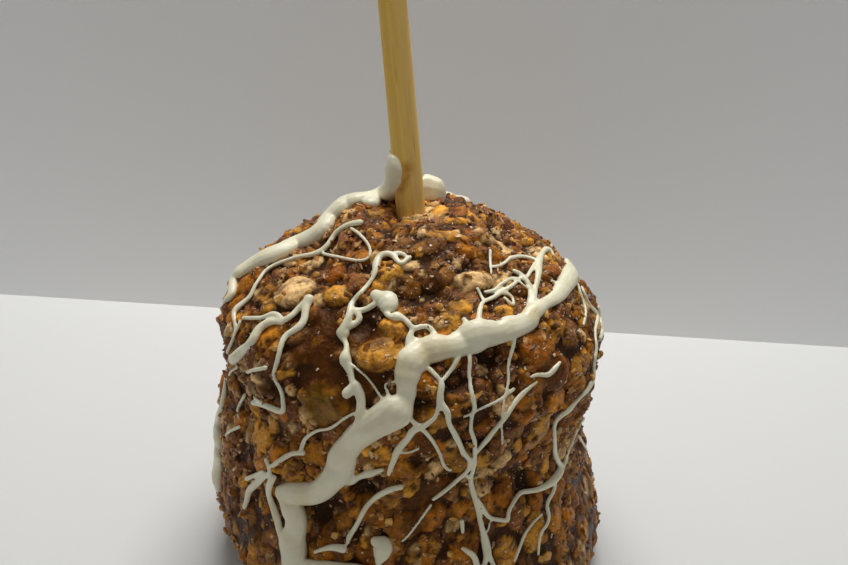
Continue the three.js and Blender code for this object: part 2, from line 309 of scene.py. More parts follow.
# Places where the coating differs: across, up, reach, and what is found there.
# a "dark" patch is a hollow: it is sunk in and its colour is darkened as painted shade
patches = [
    # the "glow" patch is painted glow: light shining through the translucent caramel, put into its colour as
    # a golden middle
    (-18.6, -8, 7.6, "smooth"), (-19.2, -9.8, 6, "glow"), (-12, 8.5, 4, "smooth"),
    (-7.5, 8, 3.4, "smooth"), (4, -36, 3.6, "smooth"), (-21, 9, 5, "smooth"), (34.5, 1.5, 4.6, "smooth"),
    (8, -29, 4, "smooth"), (-25, 3, 3.4, "smooth"), (-18.5, 2.1, 5, "smooth"), (-9.4, -3.6, 4, "smooth"),
    (3, -31, 3, "smooth"), (4, -7.2, 3, "dark"), (20, 5.6, 4.4, "dark"), (-32, -6.5, 3.6, "dark"),
    (-10.5, 10.2, 3, "dark"), (-16.8, -34, 5.4, "dark"), (-8.3, -27.8, 4, "dark"),
    (30, -25, 4.4, "dark"), (25, -24, 3, "dark"), (5, 19.5, 3.6, "dark"), (9.5, 17.5, 3, "dark"),
    (-1, 19, 4, "dark"), (12, -1, 3.4, "dark"), (-3.6, 35.6, 7, "crumb"), (-12, 34, 4, "crumb"),
    (3, 13, 5, "crumb"), (-21, 3, 6, "crumb"), (-29, -1, 5, "crumb"), (25, 8, 6, "crumb"),
    (12, 40, 5, "crumb"), (24, 33, 5, "crumb"), (-38, -22, 5, "crumb"), (33, 21, 4, "crumb"),
]

print("coating grid")
towards, grid, neighbours = ballGrid(coatingSet["gridSteps"])
bodyPoints, bodyFaces = cadShape("coated_apple")
bodyTree = BVHTree.FromPolygons(bodyPoints.tolist(), bodyFaces)


def reachTo(tree, direction):
    hit = tree.ray_cast(Vector(middle + direction * 100), Vector(-direction))[0]
    return (np.array(hit) - middle) @ direction if hit is not None else np.nan


radius = np.array([reachTo(bodyTree, direction) for direction in towards])
# the hole round the stick is bridged from its rim
entry = stickFoot + stickAlong * coatingSet["stickInside"] - middle
entry /= np.linalg.norm(entry)
fromStick = np.arccos(np.clip(towards @ entry, -1, 1))
holed = np.isnan(radius) | ((fromStick < coatingSet["holeReach"]) & (radius < 60))
radius[holed] = np.nanmedian(radius[(fromStick < coatingSet["rimReach"]) & ~holed])
flatFoot = radius * towards[:, 2] < -middle[2] + 0.6
radius = np.where(flatFoot, radius, spread(radius, neighbours, coatingSet["evenRounds"]))
under = np.where(towards[:, 2] < -0.05, -middle[2] / np.minimum(towards[:, 2], -0.05), 1e3)
radius = np.minimum(radius, under)
plainTree = BVHTree.FromPolygons((middle + towards * radius[:, None]).tolist(), grid.tolist())


def sightOf(across, up):
    place = middle + np.array([across, 0, 0]) + up * lookUp
    return (place - eye) / np.linalg.norm(place - eye)


def seenOn(tree, across, up):
    # where the line of sight through a place on the sheet meets a surface, or passes nearest
    sight = sightOf(across, up)
    hit, normal, _, _ = tree.ray_cast(Vector(eye), Vector(sight))
    if hit is not None:
        return np.array(hit), np.array(normal)
    nearest, farthest, step = 130, 270, 2.0
    for _ in range(2):  # coarsely, then finely round the best place
        tries = [tree.find_nearest(Vector(eye + sight * far)) for far in np.arange(nearest, farthest, step)]
        best = min(tries, key=lambda found: found[3])
        far = (np.array(best[0]) - eye) @ sight
        nearest, farthest, step = far - 4, far + 4, 0.4
    return np.array(best[0]), np.array(best[1])


def directionTo(longitude, latitude):
    turn, rise = math.radians(longitude), math.radians(latitude)
    return np.array([math.sin(turn) * math.cos(rise), -math.cos(turn) * math.cos(rise), math.sin(rise)])


print("nuts and crumb")
dice = random.Random(coatingSet["seed"])
goldenTurn = math.pi * (3 - math.sqrt(5))


def evenPlaces(count, jitter):
    # directions spread evenly over the ball, each shifted a little
    for k in range(count):
        up = 1 - 2 * (k + 0.5) / count
        turn = k * goldenTurn
        ring = math.sqrt(1 - up * up)
        place = np.array([ring * math.cos(turn), ring * math.sin(turn), up])
        yield unit(place + jitter * np.array([dice.uniform(-1, 1) for _ in range(3)]))


patchPlaces = [(unit(seenOn(plainTree, across, up)[0] - middle), far / coatingSet["meanRadius"], kind)
               for across, up, far, kind in patches]
# patches of the same sorts at the back and sides
for place in evenPlaces(70, 0.12):
    if place[1] > 0.05 or abs(place[0]) > 0.93:
        far = dice.uniform(0.06, 0.13)
        patchPlaces.append((place, far, dice.choice(["smooth", "dark", "crumb", "crumb"])))


def patchAt(directions, kind):
    # 1 in the middle of such a patch, 0 outside it
    best = np.zeros(directions.shape[:-1])
    for place, far, what in patchPlaces:
        if what == kind:
            best = np.maximum(best, 1 - np.arccos(np.clip(directions @ place, -1, 1)) / far)
    return best


nuts = []  # direction, half length, half width, turn, rise, colour, crumbliness


def tintOf(kind):
    tint = np.array(food[kind]) * dice.uniform(0.7, 1.26)
    other = np.array(food[dice.choice(["amber", "gold", "caramel"])])
    return tint * 0.8 + other * 0.2


placedAt = []
for across, up, long, wide, turn, rise, kind in placedNuts:
    place = unit(seenOn(plainTree, across, up)[0] - middle)
    placedAt.append((place, max(long, wide) / 2 / coatingSet["meanRadius"]))
    nuts.append((place, long / 2, wide / 2, math.radians(turn), rise, tintOf(kind), 0.25))

for count, small, big, low, high in coatingSet["nutLayers"]:
    for place in evenPlaces(count, 0.055):
        if place[2] < coatingSet["lowestNut"]:
            continue
        if any(place @ other > math.cos(far * 1.05) for other, far in placedAt) and dice.random() < 0.85:
            continue
        if patchAt(place, "smooth") > 0.1 and dice.random() < 0.9:
            continue
        if patchAt(place, "dark") > 0.1 and dice.random() < 0.75:
            continue
        height = place[2]  # amber and gold lie lower down, chocolate higher up
        chances = np.array([0.24 - 0.14 * height, 0.17 - 0.05 * height, 0.14, 0.2, 0.27 + 0.25 * height])
        if patchAt(place, "crumb") > 0:
            chances = np.array([0.1, 0.05, 0.05, 0.1, 0.7])
        kind = dice.choices(["amber", "gold", "cream", "caramel", "chocolate"], np.maximum(chances, 0.02))[0]
        half = dice.uniform(small, big)
        nuts.append((place, half, half * dice.uniform(0.55, 1), dice.uniform(0, math.pi),
                     dice.uniform(low, high), tintOf(kind), 0.9 if kind == "chocolate" else 0.3))
for place in evenPlaces(coatingSet["crumbs"], 0.035):
    crumbly = patchAt(place, "crumb") > 0
    if (place[2] < coatingSet["lowestNut"] or patchAt(place, "smooth") > 0
            or not (crumbly or dice.random() < 0.35)):
        continue
    half = dice.uniform(0.6, 1.3)
    nuts.append((place, half, half * dice.uniform(0.7, 1), dice.uniform(0, math.pi), dice.uniform(1.1, 2.5),
                 tintOf(dice.choice(["chocolate", "chocolate", "chocolate", "gold", "cream"])), 1.0))

# height of the highest nut over each vertex, and of the next one
first, second = np.zeros(len(towards)), np.zeros(len(towards))
tint = np.tile(np.array(food["binder"]), (len(towards), 1))
rough = np.full(len(towards), 0.5)
for place, long, wide, turn, rise, colour, crumbly in nuts:
    near = np.nonzero(towards @ place > math.cos(max(long, wide) * 1.1 / 40))[0]
    if not len(near):
        continue
    side = unit(np.cross(place, [0.3, 0.2, 1.0]))
    other = np.cross(place, side)
    local = (towards[near] - place) * radius[near, None]
    x = local @ (side * math.cos(turn) + other * math.sin(turn)) / long
    y = local @ (other * math.cos(turn) - side * math.sin(turn)) / wide
    away = (np.abs(x) ** 2.3 + np.abs(y) ** 2.3) ** (1 / 2.3)
    top = rise * np.clip(1 - away ** 2.4, 0, 1) ** 0.55
    for _ in range(5):  # flat cuts, as on a chopped nut
        way = dice.uniform(0, 2 * math.pi)
        height, slope = dice.uniform(0.55, 1.0), dice.uniform(0.1, 0.75)
        top = np.minimum(top, rise * (height + slope * (x * math.cos(way) + y * math.sin(way))))
    top = np.maximum(top, 0)
    wins = top > first[near]
    second[near] = np.maximum(np.minimum(top, first[near]), second[near])
    gain = near[wins]
    first[gain] = top[wins]
    tint[gain] = colour
    rough[gain] = crumbly

# shade holds painted shade: crevices between nuts and bare low spots have their colour darkened as if in
# shadow; bare spots show the binder's own brown beneath it
crevice = np.clip(1 - (first - second) / 0.45, 0, 1) * np.clip(second / 0.3, 0, 1)
bare = np.clip(1 - first / 0.35, 0, 1)
shade = np.clip(np.maximum(crevice * 0.9, bare * 0.5), 0, 1)
smoothPatch = np.clip(2.2 * patchAt(towards, "smooth"), 0, 1)
paintedShadeHollow = np.clip(2 * patchAt(towards, "dark"), 0, 1)
paintedGlowPatch = np.clip(1.8 * patchAt(towards, "glow"), 0, 1)
tint = tint * (0.66 + 0.5 * np.clip(first / 1.9, 0, 1))[:, None]  # painted light: the top of a nut is made paler and its sides darker, as light from above falls on them
tint = tint * (1 + 0.28 * np.clip(towards[:, 2:], 0, 1) ** 2)  # painted light: the coating is made paler the more it faces up, towards the overhead lamp
# painted shade: crevices and bare spots are darkened towards a deeper brown than the binder
tint = tint + (shade * 0.62)[:, None] * (np.array(food["binder"]) * 0.6 - tint)
tint = tint + (smoothPatch * 0.8)[:, None] * (np.array(linear(80, 41, 6)) - tint)
# painted glow: the smooth caramel patch is made golden in its middle, as if lit from within
tint = tint + (paintedGlowPatch * 0.9)[:, None] * (np.array(linear(134, 94, 10)) - tint)
# painted shade: the colour in the dark hollows is darkened
tint = tint * (1 - 0.55 * paintedShadeHollow)[:, None]
rough = rough * (1 - smoothPatch)
shade = shade * (1 - 0.6 * smoothPatch) * (1 - 0.9 * paintedGlowPatch)

fade = np.clip((middle[2] + radius * towards[:, 2]) / 2.5, 0, 1)  # nothing is raised under the flat foot
grain = np.array([noise.noise(Vector(way * radius[0] * 0.55)) * 0.5
                  + noise.noise(Vector(way * radius[0] * 1.3)) * 0.25 for way in towards])
dimple = np.clip(1 - fromStick / 0.27, 0, 1)  # round the stick
raised = first * (1 - 0.4 * dimple) - coatingSet["sunk"] - paintedShadeHollow * coatingSet["darkDepth"]
raised -= coatingSet["dimpleDepth"] * dimple ** 0.8
raised += (grain * (0.5 + 0.5 * rough) - coatingSet["creviceDepth"] * crevice) * (1 - smoothPatch)
raised = spread(raised, neighbours, 1, 0.3)
radiusTop = radius + raised * fade
points = middle + towards * radiusTop[:, None]
points[:, 2] = np.maximum(points[:, 2], 0)
points[flatFoot & (fade < 0.05), 2] = 0

nutCoating = pieceOf("nutCoating", meshOf("nutCoating", points, grid.tolist()))
for name, values in (("shade", shade), ("crumbly", rough), ("smoothPatch", smoothPatch),
                     ("nutRoom", np.clip(first, 0, 1) * (1 - smoothPatch) * (1 - paintedShadeHollow) * fade)):
    setAttribute(nutCoating.data, name, "FLOAT", values)
setAttribute(nutCoating.data, "foodTint", "FLOAT_COLOR", tint)
print("coating vertices", len(points))

# what the drizzle lies on: the coating with its hollows bridged, and the stick
def bedTree(reachOut, rounds, sunk):
    bed = spread(highest(radiusTop, neighbours, reachOut), neighbours, rounds) - sunk
    bed = middle + towards * bed[:, None]
    faces = grid.tolist() + [[v + len(bed) for v in face] for face in stickFaces]
    return BVHTree.FromPolygons(np.concatenate([bed, stickAt]).tolist(), faces)


bridgeTree = bedTree(3, 14, 0.25)  # under bands
strandTree = bedTree(2, 8, 0.0)  # under thin strands, which dip into the hollows

# ---- white chocolate drizzle ----
# Routes across the front, on the sheet that faces the camera: across and up in millimetres, and
# the width where it is known. Widths in between are evened out.
bandRoutes = {
    "front": [
        (37.5, 28.8, 3.3), (37.6, 25.6, 4.2), (36.1, 22.6, 3.9), (34.5, 20.1, 3.2), (32.1, 18.5, 2.6),
        (29.1, 16.1, 4), (28.5, 14.3, 4.5), (26.4, 12.9, 4.4), (24, 12.2, 5), (21.8, 11, 4.7),
        (19.4, 10.5, 5.5), (17, 10.1, 6.3), (14.7, 8.9, 6.5), (12.4, 7.6, 5.5), (10.1, 6.8, 4.5),
        (6.5, 6.2, 5.6), (4.1, 5.1, 5.5), (1.3, 2.6, 6.3), (0.5, -0.3, 5.4), (0.4, -3.4, 3.9),
        (0.4, -5.8, 3.7), (-1.5, -9, 7), (-4.2, -11.1, 6.2), (-7, -13.1, 6), (-10.3, -15.9, 5.5),
        (-12.5, -18.7, 5.2), (-13.9, -21.7, 6.2), (-14.2, -24.1, 5.8), (-16.1, -26.9, 5),
        (-18.6, -29.4, 5), (-21.3, -30.2, 5.2), (-24.5, -30.3, 5), (-27, -30.6, 4.6)],
    "elbow": [
        (-26.5, -31.5, 4), (-25, -34, 5), (-23.9, -36.3, 4.8), (-23.8, -39, 5.2), (-24.4, -41.6, 6.5),
        (-24, -44.4, 6.2), (-24.2, -46.6, 5.4)],
    "shoulder": [
        (-7.4, 43.4, 5), (-9, 42, 5), (-12, 40.7, 5.8), (-14.6, 40.1, 5.8), (-18, 37.6, 6.4),
        (-20.7, 34.8, 6.2), (-21.8, 32.6, 5.8), (-24.4, 30.5, 5.4), (-27.7, 29.1, 4.8),
        (-30.9, 27.2, 4.6), (-34, 25.6, 5), (-37.1, 23.7, 5), (-40.1, 21.8, 3.8), (-42, 20.1, 2.8),
        (-42.4, 17.9, 2.4), (-42.4, 16, 2.2), (-43.7, 14.3, 1.8)],
    "lobe": [(-10.4, 41.4, 4.6), (-10.6, 39.6, 4)],
    "tongue": [(-7.2, 52.2, 1.6), (-6.3, 49.6, 4), (-6.1, 47, 5.6), (-6.9, 44.4, 5.8), (-8.4, 42.4, 5)],
    "drip": [
        (-42.6, -2, 0.8), (-42.7, -5.2, 1), (-42.8, -8.3, 1.6), (-43.2, -11.2, 1.6), (-44, -14, 2.4),
        (-43.6, -16.9, 3.5), (-43, -18.3, 4.3), (-42.8, -20.6, 4.8), (-42.8, -23.3, 4.2),
        (-43, -25.9, 4.2), (-43, -28.2, 3.6), (-42.7, -30.2, 2.2)],
    "foot": [(-20, -47.6, 3.4), (-15, -48.4, 4.4), (-9, -48.6, 4.4), (-5, -48.4, 3)],
    "heart": [(-8.3, 17.9, 2.6), (-7.4, 17.4, 3), (-5.3, 16.9, 4.4), (-5, 15.6, 3.8)],
    "blob": [(-15.9, 8.6, 2.2), (-15.3, 8.2, 2.6)],
    "junction": [(3.2, 4.8, 5), (0.8, 6.6, 2), (0.6, 7.8, 1.8)],
    "wedge": [
        (-4.7, -40.5, 2.2), (-3, -41, 4.2), (-2.8, -42.2, 4.2), (-3.1, -43.8, 3.2), (-3.6, -45.4, 1.6)],
}
threadRoutes = {
    "tip1": [(13, 13.5, 1.1), (13.9, 11.9, 2)],
    "tip2": [(24.6, 13.4, 1), (25, 12.4, 2)],
    # along the left shoulder
    "s6": [
        (-13, 34.8, 1.8), (-15.4, 34.3), (-17.7, 32.9, 1.6), (-19, 31.3), (-20.3, 29),
        (-22.1, 27.3, 1.6), (-24.4, 26.4), (-26.8, 25.9, 1.2), (-28.4, 25.4), (-29.8, 24.8),
        (-31.9, 23.9), (-33.8, 22.8), (-35, 21.7, 1), (-36, 20), (-37.1, 18, 1.2), (-37.6, 16.3),
        (-38.4, 15.1), (-39.8, 13.8), (-41.1, 12.6, 1.8), (-41.6, 11.3), (-41.1, 8.7, 1), (-41, 6.8),
        (-41.9, 3.9), (-42.6, 2.1, 1)],
    "s6b": [(-40, 9.5, 1), (-40.4, 8), (-41, 6.8)],
    "bar": [
        (-39.3, 10.5, 1), (-37.2, 10.6), (-34.8, 10.8), (-33.4, 11.5), (-32, 12.1, 1.4), (-30.8, 11.5),
        (-30.2, 10.8)],
    "arc": [
        (-15.1, 33.3, 0.9), (-13.4, 32.4), (-11.6, 30.8), (-10.6, 29.5), (-10.1, 28.1), (-10.2, 26.9),
        (-11.4, 26), (-13, 25.8), (-14.9, 25.9), (-17.3, 26.3), (-19.7, 26.6), (-21.3, 26.9, 0.9)],
    # the fork on the left
    "h1": [
        (-24, 16, 2.3), (-24.6, 13.8, 2), (-24.7, 11.9), (-24.8, 10.9), (-25.7, 9.4, 2), (-27.5, 8, 1.7),
        (-29.1, 6.7, 1.6), (-29.8, 5, 1.4), (-30.2, 3.1), (-30.5, 1.1, 1.3), (-31, -1.1, 1.1),
        (-31.3, -2.8), (-30.6, -4.1, 1), (-29.6, -5.5), (-28.9, -7.1), (-28.5, -9), (-28.4, -11.1),
        (-30.1, -10.8, 1.6), (-31.8, -10.2), (-33.5, -9.8), (-35.7, -9.4, 1.4)],
    "h1a": [(-35.5, -8.1, 0.8), (-34, -9.1), (-32.8, -9.6)],
    "h1b": [(-24, 16, 1.6), (-26, 13.9, 1.5), (-27.4, 12.2), (-29, 10.9), (-29.9, 10.4)],
    "h2": [
        (-30, 10.1, 1.6), (-31.4, 10.2, 1.6), (-33.1, 9.9, 2), (-34.7, 8.8), (-35.9, 7.2, 2.2),
        (-36.4, 5.7), (-37.7, 3.9, 2.3), (-39.3, 2.4, 2.5), (-40.4, 1.1, 2.6), (-41.2, 0.5)],
    "h3": [(-39.9, -1.2, 0.8), (-40.8, -2), (-41.7, -2.3), (-41.6, -3.5), (-42.3, -4.3)],
    "stub1": [(-37.5, -2.2, 1.1), (-33.1, -0.9, 1.1)],
    "stub2": [(-37.7, -7.7, 1), (-39, -10.4), (-39.2, -11.6)],
    "stub3": [(-38.5, -15.3, 0.9), (-39.9, -16.1), (-41, -16.6), (-41.7, -17.6)],
    # lower left
    "c1": [
        (-10.9, -10.1, 0.7), (-13.7, -11.7), (-16.2, -13.8), (-17.6, -14.6), (-19.9, -15),
        (-21.8, -16.2), (-22.9, -17.3), (-23.3, -18.6), (-23.6, -19.7, 1.2)],
    "c2": [(-23, -20.6, 1.3), (-25.3, -20.8), (-27.1, -21.7), (-28.7, -22.9), (-30.1, -24.1)],
    "c3": [(-31.8, -22.7, 1.2), (-31, -24.3), (-30.7, -25.7)],
    "c4": [
        (-30.6, -26, 1.3), (-32, -26.7), (-32.9, -27.9), (-34.3, -29.1, 2), (-35.4, -30.4),
        (-35.6, -32.3), (-36.2, -34.4, 1.2)],
    "c5": [(-36.1, -27.6, 1.2), (-34.3, -26.7), (-32.2, -25.6)],
    "c6": [
        (-29.6, -26.8, 1.5), (-30.6, -28.7, 1.8), (-30.6, -30.8, 1.6), (-29.7, -33.1),
        (-28.8, -35.2, 1.9), (-28.1, -37.1), (-27.4, -39.4), (-26.5, -41.5, 2)],
    # down the middle of the left half
    "s1": [
        (-0.7, 27.4, 1), (-1.8, 26.5), (-2.9, 25.5, 1.2), (-4, 26.8, 1.4), (-5, 27.8), (-6.6, 27.9, 1.5),
        (-8, 27), (-8.6, 25.3, 2), (-8.7, 23.6), (-9.3, 21.7, 1.2), (-10.5, 19.9), (-11.8, 18.3),
        (-13.1, 16.7, 1.3), (-14, 15), (-14.3, 12.1, 1.6), (-15.7, 8.4, 2), (-14.6, 6.1, 1.2),
        (-14.3, 4.7, 1.3), (-14.6, 2.2, 2.6), (-13.5, 0.2, 2), (-12.9, -1.2, 1.6), (-12.6, -2.9, 1.6),
        (-11.8, -3.8, 2.4), (-10.6, -5.6, 2.2), (-10.1, -7.7, 2), (-10.1, -9.6, 2), (-10.1, -11.5, 2.2),
        (-10, -13, 3)],
    "s1hole": [(-13.3, 14.1, 1.4), (-11.6, 12.2, 1.6), (-13, 10.5, 1.3), (-15.5, 9.4, 1.4)],
    "s1side": [(-11.8, -3.8, 2), (-13.4, -5.6, 2.4), (-13.7, -6, 2.2)],
    "s1tip": [(-5, 27.8, 1.2), (-3.4, 28.3), (-2, 27.8, 1)],
    "s1b": [(-13, 1.2, 0.7), (-11.3, -0.1), (-9.6, -1.3), (-8, -2.9), (-6.7, -4.6), (-5.2, -6.6)],
    "s2left": [(-8.5, 15.6, 1.5), (-10.1, 14.5), (-11.7, 13.9), (-13.3, 14.1)],
    "s2down": [
        (-5.6, 14, 1.4), (-4.6, 12.9, 1.3), (-3, 13.2, 2.4), (-1, 12.6, 1.4), (0.3, 11.2, 1.4),
        (1.4, 10.4, 1.3), (3, 11.2, 1.2), (4.9, 11.1), (5.9, 10.2, 1.3), (6.4, 8.6, 2)],
    "ring": [(0.8, 9.8, 1.3), (0.3, 7.8, 1.8), (0.6, 6, 2)],
    "cross": [(0.9, 7.9, 1.1), (2, 7.9), (3.6, 7.5, 1.3), (5, 7.4)],
    "s3": [(-4.8, -3.3, 0.6), (-3.2, -2.4), (-1.7, -2.5)],
    "s3b": [(-4.7, -3.8, 0.6), (-4, -4.7), (-3.8, -6.1), (-3.4, -8, 1.4)],
    # below the band
    "s7": [
        (5.6, 1.2, 1.2), (6.9, 0), (8.1, -1.1, 1), (8.7, -2.5, 1.6), (8.5, -4.4, 1.5), (8.6, -6.3, 1.6),
        (8.2, -8.2, 1), (7.7, -10.1), (6.6, -11.3, 1.1), (5.2, -12.4), (4, -12.7, 1.8),
        (2.4, -13.8, 1.8), (1.5, -15.5, 1.6), (0.2, -17.2, 1.7), (-0.9, -18.8, 1.7), (-1.5, -20.9, 1.4),
        (-2.1, -22.6, 1.3), (-2.5, -24.4, 1)],
    "s7stub": [(2, -10.9, 1.1), (2.3, -11.4, 1.1), (4, -12.7, 1.6)],
    "s7side": [(-0.9, -18.8, 0.8), (1, -19.1), (2.9, -18.6), (4.2, -17.8, 0.7)],
    "s7right": [
        (4, -12.7, 1.3), (5.2, -13.5), (7, -15.3, 1.1), (8.3, -17.1), (9.5, -19.1, 0.9), (10.2, -21.1),
        (11.5, -22.5), (12.2, -22.4, 0.8)],
    "s7fork": [
        (8.6, -6.3, 1.4), (9.4, -7.5), (10.7, -9.1, 1.5), (10.8, -11, 1.3), (12.2, -13.3, 1.3),
        (12.9, -14.5, 1.4), (14, -16.4, 1.2), (15, -18.5, 1.4), (16.3, -19.5, 1.2), (16.6, -20.9),
        (16, -22.6), (14.2, -24.4, 1.1), (12.4, -26.2), (10.4, -28, 1.1), (8.4, -29.7, 0.9)],
    "s7end": [(8, -31, 0.8), (6.7, -33), (5.6, -34.8, 0.7), (4.5, -36.5), (3, -38.7), (1.7, -40, 0.7)],
    "s7link": [(15.8, -23.5, 0.9), (16.9, -24.4, 0.9)],
    "se": [(12.6, 5.4, 1.4), (12.2, 4.2, 1.2), (11.3, 2.2, 1.1), (10.2, 0.5), (9.1, -1, 1)],
    "s8": [
        (14.9, 6, 1.3), (14.9, 4.8, 1.1), (15.1, 2.8, 1.1), (15, 1.1), (15.3, -0.8, 1), (15.7, -3.1),
        (16.3, -5.2, 1.3), (16.9, -7.1, 1.1), (16.4, -9), (16.2, -11, 1), (16.3, -12.9), (17.2, -14.7),
        (17.5, -16.1), (17.5, -18, 1.2), (17.8, -19.9), (17.6, -21.5, 1.1), (17.1, -23.4), (17, -24.6),
        (17.4, -26.4, 1.3), (18.2, -28.6), (18.8, -30.2, 1.4), (19.3, -32.1, 1.2), (19.9, -34.2),
        (20.6, -36.4, 1.5), (21.2, -38.5, 2), (21.8, -40.6, 2.2), (22.1, -42.2)],
    "s8a": [(22, -41.6, 1.6), (21.5, -44.2, 1.4), (21.4, -46)],
    "s8b": [(22, -41.6, 1.6), (23.4, -43.8, 1.2), (24.2, -46)],
    "s9": [
        (25.3, 11, 1.3), (25.3, 9.6, 1), (24.9, 6.9, 1), (24.3, 4.2), (24.2, 2.1, 0.9), (24.5, -0.3),
        (24.2, -2.4), (23.8, -4.4), (23.6, -7), (23.6, -9.4), (23.5, -11.5), (23.8, -13.4),
        (23.9, -15.5, 0.7)],
    "s10": [
        (31.2, -0.3, 0.7), (29.6, -1.7, 1), (27.8, -3.5, 1.3), (26.5, -5.2, 1.4), (25.4, -7.1),
        (24.3, -9.1, 1.3), (23, -10.8, 1.4), (21.7, -12.6, 1.4), (20.2, -14.8), (18.9, -16.5),
        (18, -17.8, 1.2)],
    "chip": [
        (36.4, 4.7, 0.9), (35.1, 2.9, 1.4), (33.8, 1.5, 1.3), (32.8, 1.5), (30.9, 1.4), (29.8, 0.8, 0.8)],
    "s11": [
        (25.9, -2.3, 0.9), (24.5, -3.5), (23.1, -4.8), (21.5, -5.8, 0.8), (19.6, -6.8), (17.8, -7.7),
        (16.4, -8.6), (14.4, -9.7, 0.7)],
    "low1": [(16, -40.8, 0.9), (17.5, -41.6, 1.3), (18.9, -42.5, 1.5), (19.5, -43.9, 1.6), (20, -46)],
    "low2": [(15.5, -34.4, 1.2), (15.9, -37, 1)],
    "s16": [
        (0.7, -27.2, 1.2), (-0.8, -27.6, 1.3), (-2.7, -28.4, 1.4), (-4.5, -29.5, 1.4), (-6.1, -30.9),
        (-7.4, -32.6, 1.3), (-8.3, -34.4), (-9.1, -36.4, 1.2), (-10.1, -38.3), (-11.1, -40.1, 1.3),
        (-11.2, -41.2, 1)],
    "smear": [
        (-13.2, -27.2, 1.2), (-11.4, -26.4, 2.4), (-9.4, -25.4, 1.6), (-7, -24.4, 2.2),
        (-5.4, -23.9, 1.4), (-4, -23.4, 1)],
    "bone": [(-18.8, -43.9, 1), (-16.4, -42.9, 1.3), (-14.3, -42.5, 1.6), (-12.1, -42.7, 2)],
    # right edge
    "ra": [(39.5, 23.4, 1), (40.1, 21.6), (41, 19.5), (41.8, 17.2), (41.7, 15.6), (41.4, 13.9, 0.9)],
    "rb": [
        (40.5, 22.7, 1.1), (41.8, 20.1), (42.8, 18.3), (44.5, 16.8, 1.2), (44.6, 15.3), (44.3, 13.6),
        (44.3, 11.7, 1), (44.7, 9.6), (44.8, 8.1), (44.5, 6, 1.2), (44.4, 3.8, 1.2), (44.7, 2, 1.3),
        (44.1, 0.3, 1.6), (43.3, -1.5, 1.4), (41.9, -3, 1.2), (40.6, -4.5, 1.5), (39.3, -6.3, 1.8),
        (37.7, -7.6, 1.6), (36.4, -8.9, 1.5), (36, -10.3, 1.2), (36.1, -12.4, 1.2), (36.4, -15, 1.3),
        (36.6, -17.1, 1.4), (37.5, -19, 1.4), (38.3, -20.3, 2.2), (37.5, -22.1, 2.4), (36.3, -23.6, 2.2),
        (34.7, -24.9, 1.7), (32.6, -25.9, 1.4), (30.5, -26.4, 1.3), (28.9, -26.7, 1.2),
        (27.8, -28.5, 1.2), (26.8, -30.5, 1.1), (26.3, -31.9), (26.5, -33.6, 1.2), (24.5, -33.5, 1.1),
        (22.3, -33.3, 1.1), (21.1, -32.3, 1.2), (20.1, -30.7), (18.5, -28.8, 1.2)],
    "rb2": [(22.2, -34.4, 0.7), (21.8, -36.3, 0.7)],
    "outer": [(44.7, 18.2, 1.4), (45.7, 15.4, 1.6), (46.1, 13), (45.5, 10.9, 1.4)],
    "r2": [
        (42.9, -8.4, 1), (41.9, -9.8), (41.3, -11.5), (40.7, -13.3, 1), (40, -15.2), (39.3, -17.2, 1.1),
        (39.1, -19, 1.2), (38.3, -20.3, 1.6)],
    "r2b": [(41.9, -12.5, 1), (43, -14.1), (43.9, -15.5, 0.9)],
    "r3": [
        (37.1, -24.5, 1.2), (36.7, -26.2, 1.2), (35.8, -27.9, 1.2), (35.3, -29.6), (35.9, -31, 1.2),
        (36.1, -32.4), (35.7, -34.1), (34.6, -35.6), (34.2, -37.6, 0.9), (34.1, -39.5),
        (34.1, -41.1, 0.8)],
    "r4": [
        (34.4, -31.6, 0.8), (32.9, -33.1), (31.5, -35.1, 0.9), (30.5, -36.8), (29.9, -38.8),
        (29.3, -40.7, 1.1), (28.6, -42.9, 1)],
    # the tangle at the upper right
    "t1": [
        (29.1, 16.8, 2.4), (29.1, 19.8, 1.8), (29.5, 21.9, 1.4), (29.9, 24.3), (30, 26.4),
        (29.8, 28.2, 2), (30.6, 30.4, 1.4), (31.3, 31.5, 1.6), (32.4, 31.3, 1.4), (33.2, 30, 0.9)],
    "t2": [(23, 28.6, 1.2), (25.1, 29.2), (27.2, 29.1), (29, 28.6, 1.2)],
    "t3": [(29, 27.7, 1.1), (28.1, 25.9), (27.5, 24.7)],
    "trunk": [
        (28.5, 17.5, 2), (28.5, 19.8, 1.5), (28.3, 21.6), (27.6, 23.1), (26.7, 24.1, 1.5), (25.6, 25.1),
        (24.1, 25.7, 1.1)],
    "t4": [(27.5, 21.9, 0.8), (26.2, 22.6), (25.3, 23.7)],
    "t5": [
        (27.2, 24.2, 1), (24.9, 23.8), (23.8, 24), (22.3, 23.1), (21.1, 22.2), (19.8, 20.8),
        (17.6, 20.2, 0.9)],
    "t6": [
        (24.9, 23.2, 1), (23.7, 21.9), (22.3, 21.1, 1.2), (20.9, 20), (19.1, 18.7), (17.3, 18, 1.1),
        (16.7, 16.4, 1.2), (16.6, 14.8), (16.4, 13.2, 1.4), (16.5, 11.6, 2)],
    "t7": [(15.8, 20.9, 0.9), (16.6, 19.5), (17.2, 18.4)],
    "t8": [(22, 20.1, 0.9), (23.3, 20.2), (24.4, 18.9), (24.6, 17.4), (23.6, 18), (22.3, 19.1, 0.9)],
    "t9": [(18.2, 30.2, 0.8), (18.3, 27.8), (18.6, 26), (18.8, 24.7, 0.8)],
    "t10": [(19.3, 26.3, 0.9), (20.5, 26.6), (21.8, 27.4), (22.8, 28.4, 0.9)],
    "t11": [(33.2, 23.9, 0.8), (34.8, 23.3, 0.8)],
}
